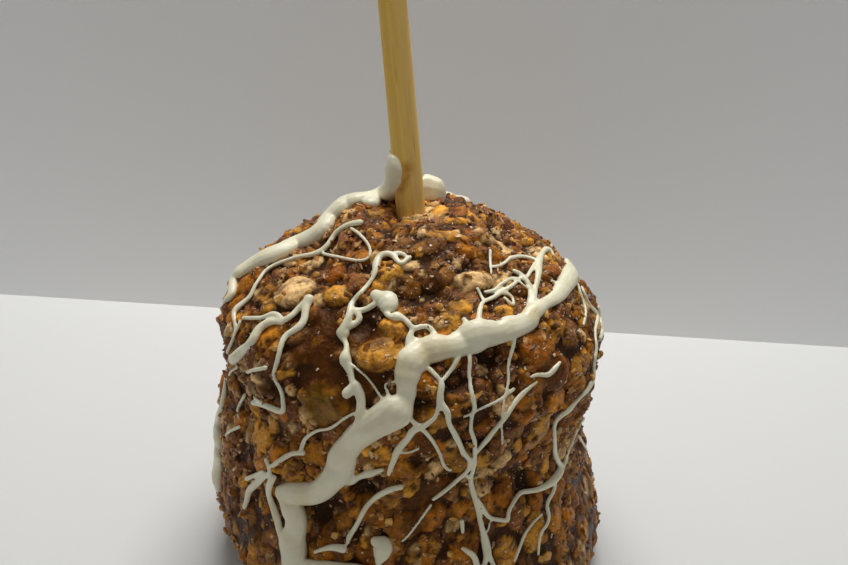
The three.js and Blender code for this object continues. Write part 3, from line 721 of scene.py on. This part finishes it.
# Routes behind, by longitude from the front and latitude in degrees, and width.
turnedBands = {
    "dab": [(192, 78.3, 4.8), (170, 77, 5.6), (154, 76.5, 5.2)],
    "back": [
        (166, 60, 4.2), (158, 53, 5), (161, 42, 5.6), (170, 31, 5), (178, 20, 5.8), (190, 11, 6.2),
        (203, 4, 5.4), (212, -6, 4.8), (212, -17, 5.2), (206, -27, 5), (207, -33, 3)],
    "side": [
        (120, 35, 3.4), (121, 26, 4.6), (116, 16, 5), (121, 6, 4.8), (131, -2, 4.4), (135, -13, 5),
        (129, -23, 4.4), (128, -28, 2.6)],
}
drizzleSet = {
    "step": 0.45,  # spacing along a route
    "sides": 12,
    # thickness above and below the bed, as shares of the width
    "bandRise": 0.33, "bandSink": 0.5, "threadRise": 0.4, "threadWidth": 0.93,
    "grain": 0.27,  # size of the grid that joins the strands where they cross
    "kept": 0.6,  # share of the joined faces that is kept
    "backThreads": 52,
    "seed": 5,
}


def evenly(route):
    # a smooth curve through the route's points, with a width at each place
    spots = np.array([p[:2] for p in route], float)
    known = [k for k, p in enumerate(route) if len(p) > 2]
    widths = np.interp(range(len(route)), known, [route[k][2] for k in known])
    ends = np.concatenate([[2 * spots[0] - spots[1]], spots, [2 * spots[-1] - spots[-2]]])
    out, sizes = [], []
    for k in range(1, len(ends) - 2):
        p0, p1, p2, p3 = ends[k - 1:k + 3]
        count = max(2, int(np.linalg.norm(p2 - p1) / drizzleSet["step"]))
        for t in np.arange(count) / count:
            out.append(0.5 * (2 * p1 + (p2 - p0) * t + (2 * p0 - 5 * p1 + 4 * p2 - p3) * t * t
                              + (3 * p1 - p0 - 3 * p2 + p3) * t ** 3))
            ease = t * t * (3 - 2 * t)
            sizes.append(widths[k - 1] * (1 - ease) + widths[k] * ease)
    out.append(spots[-1])
    sizes.append(widths[-1])
    return np.array(out), np.array(sizes)


def laidOut(route, turned, tree):
    spots, sizes = evenly(route)
    if turned:
        found = []
        for longitude, latitude in spots:
            way = directionTo(longitude, latitude)
            hit = tree.ray_cast(Vector(middle + way * 100), Vector(-way))
            if not hit[0] or abs((np.array(hit[0]) - middle) @ way) > 75 or latitude > 70:
                hit = tree.find_nearest(Vector(middle + way * 43.5))
            found.append((np.array(hit[0]), np.array(hit[1])))
    else:
        found = [seenOn(tree, across, up) for across, up in spots]
    beds = np.array([f[0] for f in found])
    outward = np.array([f[1] for f in found])
    for _ in range(3):  # a strand spans small steps of its bed
        beds[1:-1] = 0.25 * beds[:-2] + 0.5 * beds[1:-1] + 0.25 * beds[2:]
    for _ in range(8):
        outward[1:-1] = unit(0.25 * outward[:-2] + 0.5 * outward[1:-1] + 0.25 * outward[2:])
    return beds, outward, sizes


def tube(route, turned=False, rise=0.4, sink=0.3, tree=bridgeTree):
    beds, outward, sizes = laidOut(route, turned, tree)
    if tree is strandTree:
        sizes = sizes * drizzleSet["threadWidth"]
    ahead = unit(np.gradient(beds, axis=0))
    side = unit(np.cross(ahead, outward))
    outward = unit(np.cross(side, ahead))
    swell = 1 + 0.1 * np.array([noise.noise(Vector(bed * 0.22)) for bed in beds])  # uneven flow
    half = sizes / 2
    # round ends: extra rings that close in
    closing = (0.0, 0.38, 0.7, 0.92)
    rings = [(0, -math.cos(math.asin(share)), share) for share in closing]
    rings += [(k, 0, 1.0) for k in range(len(beds))]
    rings += [(len(beds) - 1, math.cos(math.asin(share)), share) for share in closing[::-1]]
    turns = np.linspace(0, 2 * math.pi, drizzleSet["sides"], endpoint=False)
    points = []
    for k, beyond, share in rings:
        share = max(share, 0.02)
        base = beds[k] + ahead[k] * beyond * half[k] * 0.9
        for turn in turns:
            upwards = math.sin(turn) * sizes[k] * (rise * swell[k] ** 2 if math.sin(turn) > 0 else sink)
            sideways = math.cos(turn) * half[k] * swell[k]
            points.append(base + share * (side[k] * sideways + outward[k] * upwards))
    around = drizzleSet["sides"]
    faces = ringFaces(len(rings), around)
    faces.append(list(range(around))[::-1])
    faces.append([(len(rings) - 1) * around + k for k in range(around)])
    return np.array(points), faces


def wandering(count):
    # thin strands behind and at the sides: they run down with bends and forks
    towardsEye, stride = np.array([0, -0.853, 0.52]), 2.9  # stride in degrees
    dice = random.Random(drizzleSet["seed"])
    routes = []
    for k in range(count):
        longitude = 80 + 200 * (k + dice.uniform(0.1, 0.9)) / count
        latitude = dice.uniform(-12, 72)
        starts = [(longitude, latitude, dice.uniform(-70, 70), dice.uniform(0.8, 1.8), dice.randint(6, 22))]
        while starts:
            longitude, latitude, heading, width, steps = starts.pop()
            route = [(longitude, latitude, width)]
            for _ in range(steps):
                heading = heading * 0.86 + dice.uniform(-28, 28)
                width = min(2.2, max(0.8, width + dice.uniform(-0.3, 0.25)))
                latitude -= stride * math.cos(math.radians(heading))
                narrowing = max(0.3, math.cos(math.radians(latitude)))
                longitude += stride * math.sin(math.radians(heading)) / narrowing
                inView = directionTo(longitude, latitude) @ towardsEye > -0.1
                if latitude < -38 or inView:
                    break
                route.append((longitude, latitude, width))
                if dice.random() < 0.05 and steps > 9:
                    starts.append((longitude, latitude, -heading + dice.choice((-60, 60)), width * 0.8,
                                   dice.randint(3, 7)))
            if len(route) > 3:
                routes.append(route)
    return routes


def joined(name, tubes):
    points, faces, start = [], [], 0
    for spots, rounds in tubes:
        points.append(spots)
        faces += [[v + start for v in face] for face in rounds]
        start += len(spots)
    piece = pieceOf(name, meshOf(name, np.concatenate(points), faces))
    merge = piece.modifiers.new("join", "REMESH")
    merge.mode, merge.voxel_size, merge.use_smooth_shade = "VOXEL", drizzleSet["grain"] * mm, True
    even = piece.modifiers.new("even", "SMOOTH")
    even.factor, even.iterations = 0.5, 2
    fewer = piece.modifiers.new("fewer", "DECIMATE")
    fewer.ratio = drizzleSet["kept"]
    return finished(piece)


print("drizzle")
rise, sink, thin = drizzleSet["bandRise"], drizzleSet["bandSink"], drizzleSet["threadRise"]
front = [tube(route, rise=rise, sink=sink) for route in bandRoutes.values()]
front += [tube(route, rise=thin, sink=thin * 0.8, tree=strandTree) for route in threadRoutes.values()]
front.append(tube(turnedBands["dab"], True, 0.8, sink))
behind = [tube(turnedBands[name], True, rise, sink) for name in ("back", "side")]
behind += [tube(route, True, thin, thin * 0.8, strandTree)
           for route in wandering(drizzleSet["backThreads"])]
drizzleFront = joined("drizzleFront", front)
drizzleBack = joined("drizzleBack", behind)
print("drizzle faces", len(drizzleFront.data.polygons), len(drizzleBack.data.polygons))

# ---- nodes ----
def fill(tree, socket, value):
    # a socket takes a link, a colour or a number
    if isinstance(value, bpy.types.NodeSocket):
        tree.links.new(value, socket)
    elif socket.type == "RGBA":
        socket.default_value = (*value[:3], 1)
    else:
        socket.default_value = value


def finish(name, roughness=0.5, **fixed):
    material = bpy.data.materials.new(name)
    material.use_nodes = True
    tree = material.node_tree
    shader = next(n for n in tree.nodes if n.type == "BSDF_PRINCIPLED")
    shader.inputs["Roughness"].default_value = roughness
    for socket, value in fixed.items():
        shader.inputs[socket.replace("_", " ")].default_value = value
    return material, tree, shader


def objectPlace(tree):
    return tree.nodes.new("ShaderNodeTexCoord").outputs["Object"]


def noiseOf(tree, scale, detail=3, roughness=0.5, place=None, distortion=0.0):
    # a pattern on the object's own coordinates, its scale in lumps to a metre
    node = tree.nodes.new("ShaderNodeTexNoise")
    place = objectPlace(tree) if place is None else place
    for name, value in (("Scale", scale), ("Detail", detail), ("Roughness", roughness),
                        ("Distortion", distortion), ("Vector", place)):
        fill(tree, node.inputs[name], value)
    return node.outputs["Fac"]


def cellsOf(tree, scale):
    node = tree.nodes.new("ShaderNodeTexVoronoi")
    node.inputs["Scale"].default_value = scale
    tree.links.new(objectPlace(tree), node.inputs["Vector"])
    return node.outputs["Distance"]


def mapped(tree, value, low, high, fromLow=0.0, fromHigh=1.0):
    node = tree.nodes.new("ShaderNodeMapRange")
    for name, number in zip(("Value", "From Min", "From Max", "To Min", "To Max"),
                            (value, fromLow, fromHigh, low, high)):
        fill(tree, node.inputs[name], number)
    return node.outputs[0]


def mixed(tree, share, first, second, blend="MIX"):
    node = tree.nodes.new("ShaderNodeMix")
    node.data_type, node.blend_type = "RGBA", blend
    for k, value in ((0, share), (6, first), (7, second)):
        fill(tree, node.inputs[k], value)
    return node.outputs[2]


def worked(tree, operation, first, second):
    node = tree.nodes.new("ShaderNodeMath")
    node.operation = operation
    for socket, value in zip(node.inputs, (first, second)):
        fill(tree, socket, value)
    return node.outputs[0]


def attributeOf(tree, name, output="Fac"):
    node = tree.nodes.new("ShaderNodeAttribute")
    node.attribute_name = name
    return node.outputs[output]


def bumped(tree, shader, height, distance, strength):
    node = tree.nodes.new("ShaderNodeBump")
    for name, value in (("Distance", distance), ("Strength", strength), ("Height", height)):
        fill(tree, node.inputs[name], value)
    tree.links.new(node.outputs[0], shader.inputs["Normal"])


# ---- nuts, crumb and specks scattered on the coating ----
scatterKinds = {
    # how many to a square centimetre, sizes in mm, share of the size sunk, corners of a shape
    "nutChips": {"perSquareCm": 7.0, "smallest": 1.2, "largest": 3.2, "sunk": 0.2, "corners": 14,
                 "flat": 0.62, "where": "nutRoom", "seed": 3},
    "creamSlivers": {"perSquareCm": 5.0, "smallest": 0.9, "largest": 2.3, "sunk": 0.14, "corners": 9,
                     "flat": 0.42, "where": "nutRoom", "seed": 8},
    "cocoaCrumb": {"perSquareCm": 20.0, "smallest": 0.8, "largest": 2.0, "sunk": 0.25, "corners": 10,
                   "flat": 0.8, "where": "crumbRoom", "seed": 21},
    "paleSpecks": {"perSquareCm": 40.0, "smallest": 0.28, "largest": 0.85, "sunk": -0.12, "corners": 6,
                   "flat": 0.6, "where": "speckRoom", "seed": 34},
}
shapesOfKind = 6  # different shapes that each kind is picked from


def chipShapes(name, settings):
    # a few angular bits, each the hull of random corners, of unit size
    dice = random.Random(settings["seed"])
    group = bpy.data.collections.new(name + "Shapes")
    for k in range(shapesOfKind):
        shape = bmesh.new()
        for _ in range(settings["corners"]):
            place = Vector([dice.gauss(0, 1) for _ in range(3)]).normalized() * dice.uniform(0.38, 0.56)
            shape.verts.new((place.x, place.y * dice.uniform(0.6, 1), place.z * settings["flat"]))
        bmesh.ops.convex_hull(shape, input=shape.verts)
        loose = [v for v in shape.verts if not v.link_faces]
        bmesh.ops.delete(shape, geom=loose, context="VERTS")
        if settings["largest"] > 2:
            edges = [e for e in shape.edges if e.calc_face_angle(0) > 0.5]
            bmesh.ops.bevel(shape, geom=edges, offset=0.05, segments=1, affect="EDGES")
        bmesh.ops.recalc_face_normals(shape, faces=shape.faces)
        mesh = bpy.data.meshes.new(name + str(k))
        shape.to_mesh(mesh)
        shape.free()
        mesh.shade_flat()
        group.objects.link(bpy.data.objects.new(mesh.name, mesh))
    return group


def scatterTree():
    tree = bpy.data.node_groups.new("scatterOnCoating", "GeometryNodeTree")
    face = tree.interface
    face.new_socket("Geometry", in_out="OUTPUT", socket_type="NodeSocketGeometry")
    sockets = {}
    for label, kind in (("Coating", "Object"), ("Shapes", "Collection"), ("Per Square Metre", "Float"),
                        ("Where", "String"), ("Smallest", "Float"), ("Largest", "Float"), ("Sunk", "Float"),
                        ("Seed", "Int"), ("Material", "Material")):
        socket = face.new_socket(label, in_out="INPUT", socket_type="NodeSocket" + kind)
        sockets[label] = socket.identifier
    add, link = tree.nodes.new, tree.links.new
    given, result = add("NodeGroupInput"), add("NodeGroupOutput")
    host = add("GeometryNodeObjectInfo")
    link(given.outputs["Coating"], host.inputs["Object"])
    room = add("GeometryNodeInputNamedAttribute")
    room.data_type = "FLOAT"
    link(given.outputs["Where"], room.inputs["Name"])
    spots = add("GeometryNodeDistributePointsOnFaces")
    spots.distribute_method = "RANDOM"
    link(host.outputs["Geometry"], spots.inputs["Mesh"])
    density = worked(tree, "MULTIPLY", room.outputs["Attribute"], given.outputs["Per Square Metre"])
    link(density, spots.inputs["Density"])
    link(given.outputs["Seed"], spots.inputs["Seed"])
    shapes = add("GeometryNodeCollectionInfo")
    link(given.outputs["Shapes"], shapes.inputs["Collection"])
    shapes.inputs["Separate Children"].default_value = True
    shapes.inputs["Reset Children"].default_value = True

    def chance(kind, seedShift, low, high):
        node = add("FunctionNodeRandomValue")
        node.data_type = kind
        link(worked(tree, "ADD", given.outputs["Seed"], seedShift), node.inputs["Seed"])
        ends = [s for s in node.inputs if s.name in ("Min", "Max") and s.enabled]
        for socket, value in zip(ends, (low, high)):
            fill(tree, socket, value)
        return next(s for s in node.outputs if s.enabled)

    size = chance("FLOAT", 1, given.outputs["Smallest"], given.outputs["Largest"])
    place = add("GeometryNodeInstanceOnPoints")
    link(spots.outputs["Points"], place.inputs["Points"])
    link(shapes.outputs[0], place.inputs["Instance"])
    place.inputs["Pick Instance"].default_value = True
    link(chance("INT", 2, 0, shapesOfKind - 1), place.inputs["Instance Index"])
    turned = add("FunctionNodeRotateRotation")
    turned.rotation_space = "LOCAL"
    link(spots.outputs["Rotation"], turned.inputs["Rotation"])
    link(chance("FLOAT_VECTOR", 3, (-0.45, -0.45, -3.14), (0.45, 0.45, 3.14)), turned.inputs["Rotate By"])
    link(turned.outputs[0], place.inputs["Rotation"])
    stretch = add("ShaderNodeVectorMath")
    stretch.operation = "SCALE"
    link(chance("FLOAT_VECTOR", 4, (0.8, 0.65, 0.8), (1.3, 1.0, 1.1)), stretch.inputs[0])
    link(size, stretch.inputs["Scale"])
    link(stretch.outputs[0], place.inputs["Scale"])
    tone = add("GeometryNodeStoreNamedAttribute")
    tone.data_type, tone.domain = "FLOAT", "INSTANCE"
    tone.inputs["Name"].default_value = "tone"
    link(place.outputs[0], tone.inputs["Geometry"])
    link(chance("FLOAT", 5, 0.0, 1.0), next(s for s in tone.inputs if s.name == "Value" and s.enabled))
    # sunk along each instance's own upright
    depth = worked(tree, "MULTIPLY", size, given.outputs["Sunk"])
    shift = add("ShaderNodeCombineXYZ")
    link(worked(tree, "MULTIPLY", depth, -1), shift.inputs["Z"])
    lowered = add("GeometryNodeTranslateInstances")
    lowered.inputs["Local Space"].default_value = True
    link(tone.outputs[0], lowered.inputs["Instances"])
    link(shift.outputs[0], lowered.inputs["Translation"])
    real = add("GeometryNodeRealizeInstances")
    link(lowered.outputs[0], real.inputs["Geometry"])
    coloured = add("GeometryNodeSetMaterial")
    link(real.outputs[0], coloured.inputs["Geometry"])
    link(given.outputs["Material"], coloured.inputs["Material"])
    link(coloured.outputs[0], result.inputs["Geometry"])
    return tree, sockets


def scattered(name, tree, sockets, material):
    settings = scatterKinds[name]
    shapes = chipShapes(name, settings)
    scene.collection.children.link(shapes)
    piece = pieceOf(name, bpy.data.meshes.new(name))
    modifier = piece.modifiers.new("scatter", "NODES")
    modifier.node_group = tree
    for label, value in (("Coating", nutCoating), ("Shapes", shapes), ("Where", settings["where"]),
                         ("Per Square Metre", settings["perSquareCm"] * 1e4),
                         ("Smallest", settings["smallest"] * mm), ("Largest", settings["largest"] * mm),
                         ("Sunk", settings["sunk"]), ("Seed", settings["seed"]), ("Material", material)):
        modifier[sockets[label]] = value
    finished(piece)
    for shape in list(shapes.objects):
        bpy.data.objects.remove(shape)
    bpy.data.collections.remove(shapes)
    print(name, "faces", len(piece.data.polygons))
    return piece


# ---- finishes ----
def coatingFinish():
    # nuts in caramel and milk chocolate: colour from the nuts, broken up by fine grain
    material, tree, shader = finish("caramelNutCoating", Specular_IOR_Level=0.26,
                                    Specular_Tint=(1.0, 0.72, 0.4, 1), Coat_Weight=0.02, Coat_Roughness=0.08)
    tintIn = attributeOf(tree, "foodTint", "Color")
    crumbly = attributeOf(tree, "crumbly")
    shadeIn = attributeOf(tree, "shade")
    coarse = noiseOf(tree, 420, 4, 0.6)
    fine = noiseOf(tree, 1500, 3, 0.6)
    grainy = worked(tree, "ADD", worked(tree, "MULTIPLY", coarse, 0.6), worked(tree, "MULTIPLY", fine, 0.4))
    value = mapped(tree, grainy, 0.42, 1.6, 0.32, 0.68)
    grey = tree.nodes.new("ShaderNodeCombineColor")
    for socket in grey.inputs[:3]:
        tree.links.new(value, socket)
    broken = mixed(tree, 1.0, tintIn, grey.outputs[0], "MULTIPLY")
    # smears of milk chocolate and of golden caramel over the nuts
    smear = mapped(tree, noiseOf(tree, 230, 4, 0.62, distortion=0.6), 0.0, 0.75, 0.5, 0.64)
    broken = mixed(tree, smear, broken, linear(82, 41, 12))
    glow = mapped(tree, noiseOf(tree, 310, 3, 0.55, distortion=0.4), 0.0, 0.5, 0.58, 0.72)
    broken = mixed(tree, glow, broken, linear(188, 119, 26))
    # granules in the crumbly places
    granule = mapped(tree, cellsOf(tree, 1500), 1.0, 0.0, 0.1, 0.34)
    granule = worked(tree, "MULTIPLY", granule, mapped(tree, crumbly, 0.0, 0.5, 0.4, 1.0))
    broken = mixed(tree, granule, broken, linear(188, 144, 104))
    # painted shade: crevices and bare spots between the nuts are darkened towards near black
    paintedShade = mapped(tree, shadeIn, 0.0, 0.72, 0.15, 0.95)
    broken = mixed(tree, paintedShade, broken, linear(30, 11, 1))
    tree.links.new(broken, shader.inputs["Base Color"])
    gloss = mapped(tree, worked(tree, "ADD", coarse, worked(tree, "MULTIPLY", crumbly, 0.35)),
                   0.2, 0.55, 0.35, 0.85)
    tree.links.new(gloss, shader.inputs["Roughness"])
    rugged = worked(tree, "ADD", noiseOf(tree, 800, 5, 0.65),
                    worked(tree, "MULTIPLY", cellsOf(tree, 900), 0.5))
    strength = mapped(tree, crumbly, 0.45, 0.95)
    bumped(tree, shader, rugged, 0.0006, strength)
    return material


def chipFinish(name, low, high, dark, roughness, depth=0.0003, **fixed):
    # one bit of food: its own tone, paler and darker within, glazed in places
    grain = 900
    material, tree, shader = finish(name, roughness, **fixed)
    tone = mixed(tree, attributeOf(tree, "tone"), low, high)
    patchy = mapped(tree, noiseOf(tree, grain * 0.5, 4, 0.6), 0.0, 0.8, 0.42, 0.62)
    colour = mixed(tree, patchy, tone, dark)
    tree.links.new(colour, shader.inputs["Base Color"])
    gloss = noiseOf(tree, grain * 0.4, 2)
    tree.links.new(mapped(tree, gloss, roughness - 0.14, roughness + 0.2, 0.35, 0.65),
                   shader.inputs["Roughness"])
    bumped(tree, shader, noiseOf(tree, grain, 4, 0.6), depth, 0.7)
    return material


def chocolateFinish():
    # ivory white chocolate: satin, faintly mottled, with fine dusty specks
    material, tree, shader = finish("whiteChocolate", Subsurface_Weight=0.12, Subsurface_Scale=0.0015,
                                    Coat_Weight=0.12, Coat_Roughness=0.25)
    shader.inputs["Subsurface Radius"].default_value = (1.0, 0.8, 0.5)
    mottled = mapped(tree, noiseOf(tree, 160, 4, 0.55), 0.0, 1.0, 0.35, 0.7)
    colour = mixed(tree, mottled, linear(238, 234, 208), linear(228, 222, 190))
    stain = mapped(tree, attributeOf(tree, "stain"), 0.0, 0.75)
    colour = mixed(tree, stain, colour, linear(212, 184, 118))
    dusty = mapped(tree, noiseOf(tree, 900, 4, 0.7), 0.0, 0.5, 0.6, 0.78)
    colour = mixed(tree, dusty, colour, linear(206, 194, 160))
    tree.links.new(colour, shader.inputs["Base Color"])
    tree.links.new(mapped(tree, noiseOf(tree, 300, 3), 0.3, 0.52, 0.35, 0.65), shader.inputs["Roughness"])
    bumped(tree, shader, noiseOf(tree, 420, 4, 0.55), 0.0005, 0.35)
    return material


def bambooFinish():
    # split bamboo: long fibres along the stick, darker bundles, caramel at its foot
    material, tree, shader = finish("bamboo")
    turnIn = tree.nodes.new("ShaderNodeMapping")
    turnIn.vector_type = "POINT"
    tree.links.new(tree.nodes.new("ShaderNodeTexCoord").outputs["Object"], turnIn.inputs["Vector"])
    turnBack = Matrix((Vector(stickWide), Vector(stickDeep), Vector(stickAlong)))
    turnIn.inputs["Rotation"].default_value = turnBack.to_euler()
    turnIn.inputs["Location"].default_value = -(turnBack @ Vector(stickFoot) * mm)
    stretched = tree.nodes.new("ShaderNodeVectorMath")
    stretched.operation = "MULTIPLY"
    stretched.inputs[1].default_value = (1, 1, 0.035)
    tree.links.new(turnIn.outputs[0], stretched.inputs[0])
    along = stretched.outputs[0]
    bundles = mapped(tree, noiseOf(tree, 900, 3, 0.6, along), 0.0, 1.0, 0.35, 0.66)
    fibres = mapped(tree, noiseOf(tree, 3600, 4, 0.7, along), 0.0, 1.0, 0.3, 0.7)
    colour = mixed(tree, bundles, linear(250, 206, 88), linear(236, 180, 58))
    colour = mixed(tree, worked(tree, "MULTIPLY", fibres, 0.55), colour, linear(250, 222, 140))
    lines = mapped(tree, noiseOf(tree, 1500, 2, 0.5, along), 0.0, 0.75, 0.62, 0.74)
    colour = mixed(tree, lines, colour, linear(176, 120, 44))
    parts = tree.nodes.new("ShaderNodeSeparateXYZ")
    tree.links.new(turnIn.outputs[0], parts.inputs[0])
    ragged = worked(tree, "MULTIPLY", noiseOf(tree, 260, 3), 0.012)
    low = mapped(tree, worked(tree, "ADD", parts.outputs["Z"], ragged), 0.85, 0.0, 0.066, 0.079)
    leftSide = mapped(tree, parts.outputs["X"], 1.0, 0.0, -0.0032, 0.0006)
    footStain = worked(tree, "MULTIPLY", low, leftSide)
    rightSide = mapped(tree, parts.outputs["X"], 0.0, 0.4, 0.0002, 0.0012)
    colour = mixed(tree, rightSide, colour, linear(246, 206, 134))
    colour = mixed(tree, footStain, colour, linear(176, 116, 46))
    colour = mixed(tree, attributeOf(tree, "stain"), colour, linear(190, 124, 4))
    tree.links.new(colour, shader.inputs["Base Color"])
    tree.links.new(mapped(tree, fibres, 0.42, 0.62), shader.inputs["Roughness"])
    bumped(tree, shader, worked(tree, "ADD", fibres, bundles), 0.00025, 0.5)
    return material


print("finishes")
coatingLook = coatingFinish()
chocolateLook = chocolateFinish()
nutLook = chipFinish("glazedNut", linear(169, 100, 20), linear(228, 174, 84), linear(112, 57, 10), 0.3,
                     Specular_IOR_Level=0.4, Coat_Weight=0.1, Coat_Roughness=0.1)
creamLook = chipFinish("nutFlesh", linear(212, 170, 112), linear(242, 218, 170), linear(168, 110, 48), 0.42)
crumbLook = chipFinish("milkChocolateCrumb", linear(116, 73, 48), linear(182, 138, 102),
                       linear(76, 41, 22), 0.45, depth=0.0002)
speckLook = chipFinish("paleSpeck", linear(204, 178, 150), linear(244, 232, 214),
                       linear(172, 138, 104), 0.4, depth=0.0001)


def stained(piece, spots):
    # caramel on a piece: across, up and reach of each spot on the sheet that faces the camera
    places = np.empty(len(piece.data.vertices) * 3)
    piece.data.vertices.foreach_get("co", places)
    places = places.reshape(-1, 3) / mm
    stain = np.zeros(len(places))
    for across, up, far in spots:
        spot = seenOn(bridgeTree, across, up)[0]
        stain = np.maximum(stain, np.clip(1 - np.linalg.norm(places - spot, axis=1) / far, 0, 1))
    setAttribute(piece.data, "stain", "FLOAT", stain)


nutCoating.data.materials.append(coatingLook)
bambooStick.data.materials.append(bambooFinish())
for piece in (drizzleFront, drizzleBack):
    piece.data.materials.clear()
    piece.data.materials.append(chocolateLook)
    stained(piece, ((5, 4.4, 4.5), (8, 6.4, 3), (0, 1.2, 3), (-22, -30.5, 3.4), (-26.5, -31.5, 3),
                    (28.6, 15.5, 3)))
stained(bambooStick, ((-2.9, 48.3, 2), (-2.8, 46.4, 1.4), (-3.1, 44.8, 1.4), (-3.8, 43.2, 1.4)))

# crumb gathers where the coating is crumbly, specks most of all at the top right
bodyMesh = nutCoating.data
topRight = np.clip(towards @ unit(np.array([0.55, -0.35, 0.72])), 0, 1) ** 2
offFoot = np.clip((points[:, 2] - 1.5) / 3, 0, 1)
setAttribute(bodyMesh, "crumbRoom", "FLOAT", np.clip(rough * 1.3 - 0.3, 0, 1) * (1 - smoothPatch) * offFoot)
setAttribute(bodyMesh, "speckRoom", "FLOAT", (0.2 + 1.0 * topRight) * (1 - 0.7 * smoothPatch) * offFoot)

print("scatter")
tree, sockets = scatterTree()
chips = [scattered(name, tree, sockets, look) for name, look in
         zip(scatterKinds, (nutLook, creamLook, crumbLook, speckLook))]

# ---- into the frame ----
for piece, nodesStoodFor, slot in (
        (nutCoating, ("coated_apple",), "coating"), (bambooStick, ("bamboo_stick",), "stick"),
        (drizzleFront, ("front_band", "shoulder_band", "stick_dab", "left_drip", "foot_pool"),
         "white_chocolate"),
        (drizzleBack, ("back_band", "side_band"), "white_chocolate")):
    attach(piece, "root")
    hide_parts(*nodesStoodFor)
for piece in chips:
    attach(piece, "root")

# ---- floor, backdrop and light ----
studio = {"floor": linear(214, 215, 214), "wall": linear(248, 249, 250), "wallAt": 0.108, "wallHeight": 0.9,
          "topPower": 3.65, "topSize": 0.34, "topPlace": (0.0, 0.22, 0.6), "air": 0.25}


def board(name, corners, colour, seenFromBehind=True):
    mesh = bpy.data.meshes.new(name)
    mesh.from_pydata(corners, [], [(0, 1, 2, 3)])
    plane = bpy.data.objects.new(name, mesh)
    scene.collection.objects.link(plane)
    material, tree, shader = finish(name, 0.7)
    tone = mixed(tree, noiseOf(tree, 6, 2), colour, tuple(0.97 * c for c in colour))
    tree.links.new(tone, shader.inputs["Base Color"])
    if not seenFromBehind:
        # from behind it lets the view through
        clear, choice = tree.nodes.new("ShaderNodeBsdfTransparent"), tree.nodes.new("ShaderNodeMixShader")
        tree.links.new(tree.nodes.new("ShaderNodeNewGeometry").outputs["Backfacing"], choice.inputs[0])
        tree.links.new(shader.outputs[0], choice.inputs[1])
        tree.links.new(clear.outputs[0], choice.inputs[2])
        output = next(n for n in tree.nodes if n.type == "OUTPUT_MATERIAL")
        tree.links.new(choice.outputs[0], output.inputs[0])
        plane.visible_shadow = False
    mesh.materials.append(material)


board("floor", [(-2, -2, 0), (2, -2, 0), (2, 2, 0), (-2, 2, 0)], studio["floor"])
wallAt, wallTop = studio["wallAt"], studio["wallHeight"]
board("backdrop", [(-2, wallAt, 0), (2, wallAt, 0), (2, wallAt, wallTop), (-2, wallAt, wallTop)],
      studio["wall"], False)

lamp = bpy.data.lights.new("top", "AREA")
lamp.shape, lamp.size, lamp.energy = "SQUARE", studio["topSize"], studio["topPower"]
lamp.color = (1.0, 0.985, 0.96)
top = bpy.data.objects.new("top", lamp)
top.location = studio["topPlace"]
scene.collection.objects.link(top)
air = bpy.data.worlds.new("air")
air.use_nodes = True
background = next(n for n in air.node_tree.nodes if n.type == "BACKGROUND")
background.inputs["Color"].default_value = (1.0, 0.985, 0.965, 1)
background.inputs["Strength"].default_value = studio["air"]
scene.world = air
scene.view_settings.view_transform = "Standard"
scene.view_settings.look = "None"

print("done")
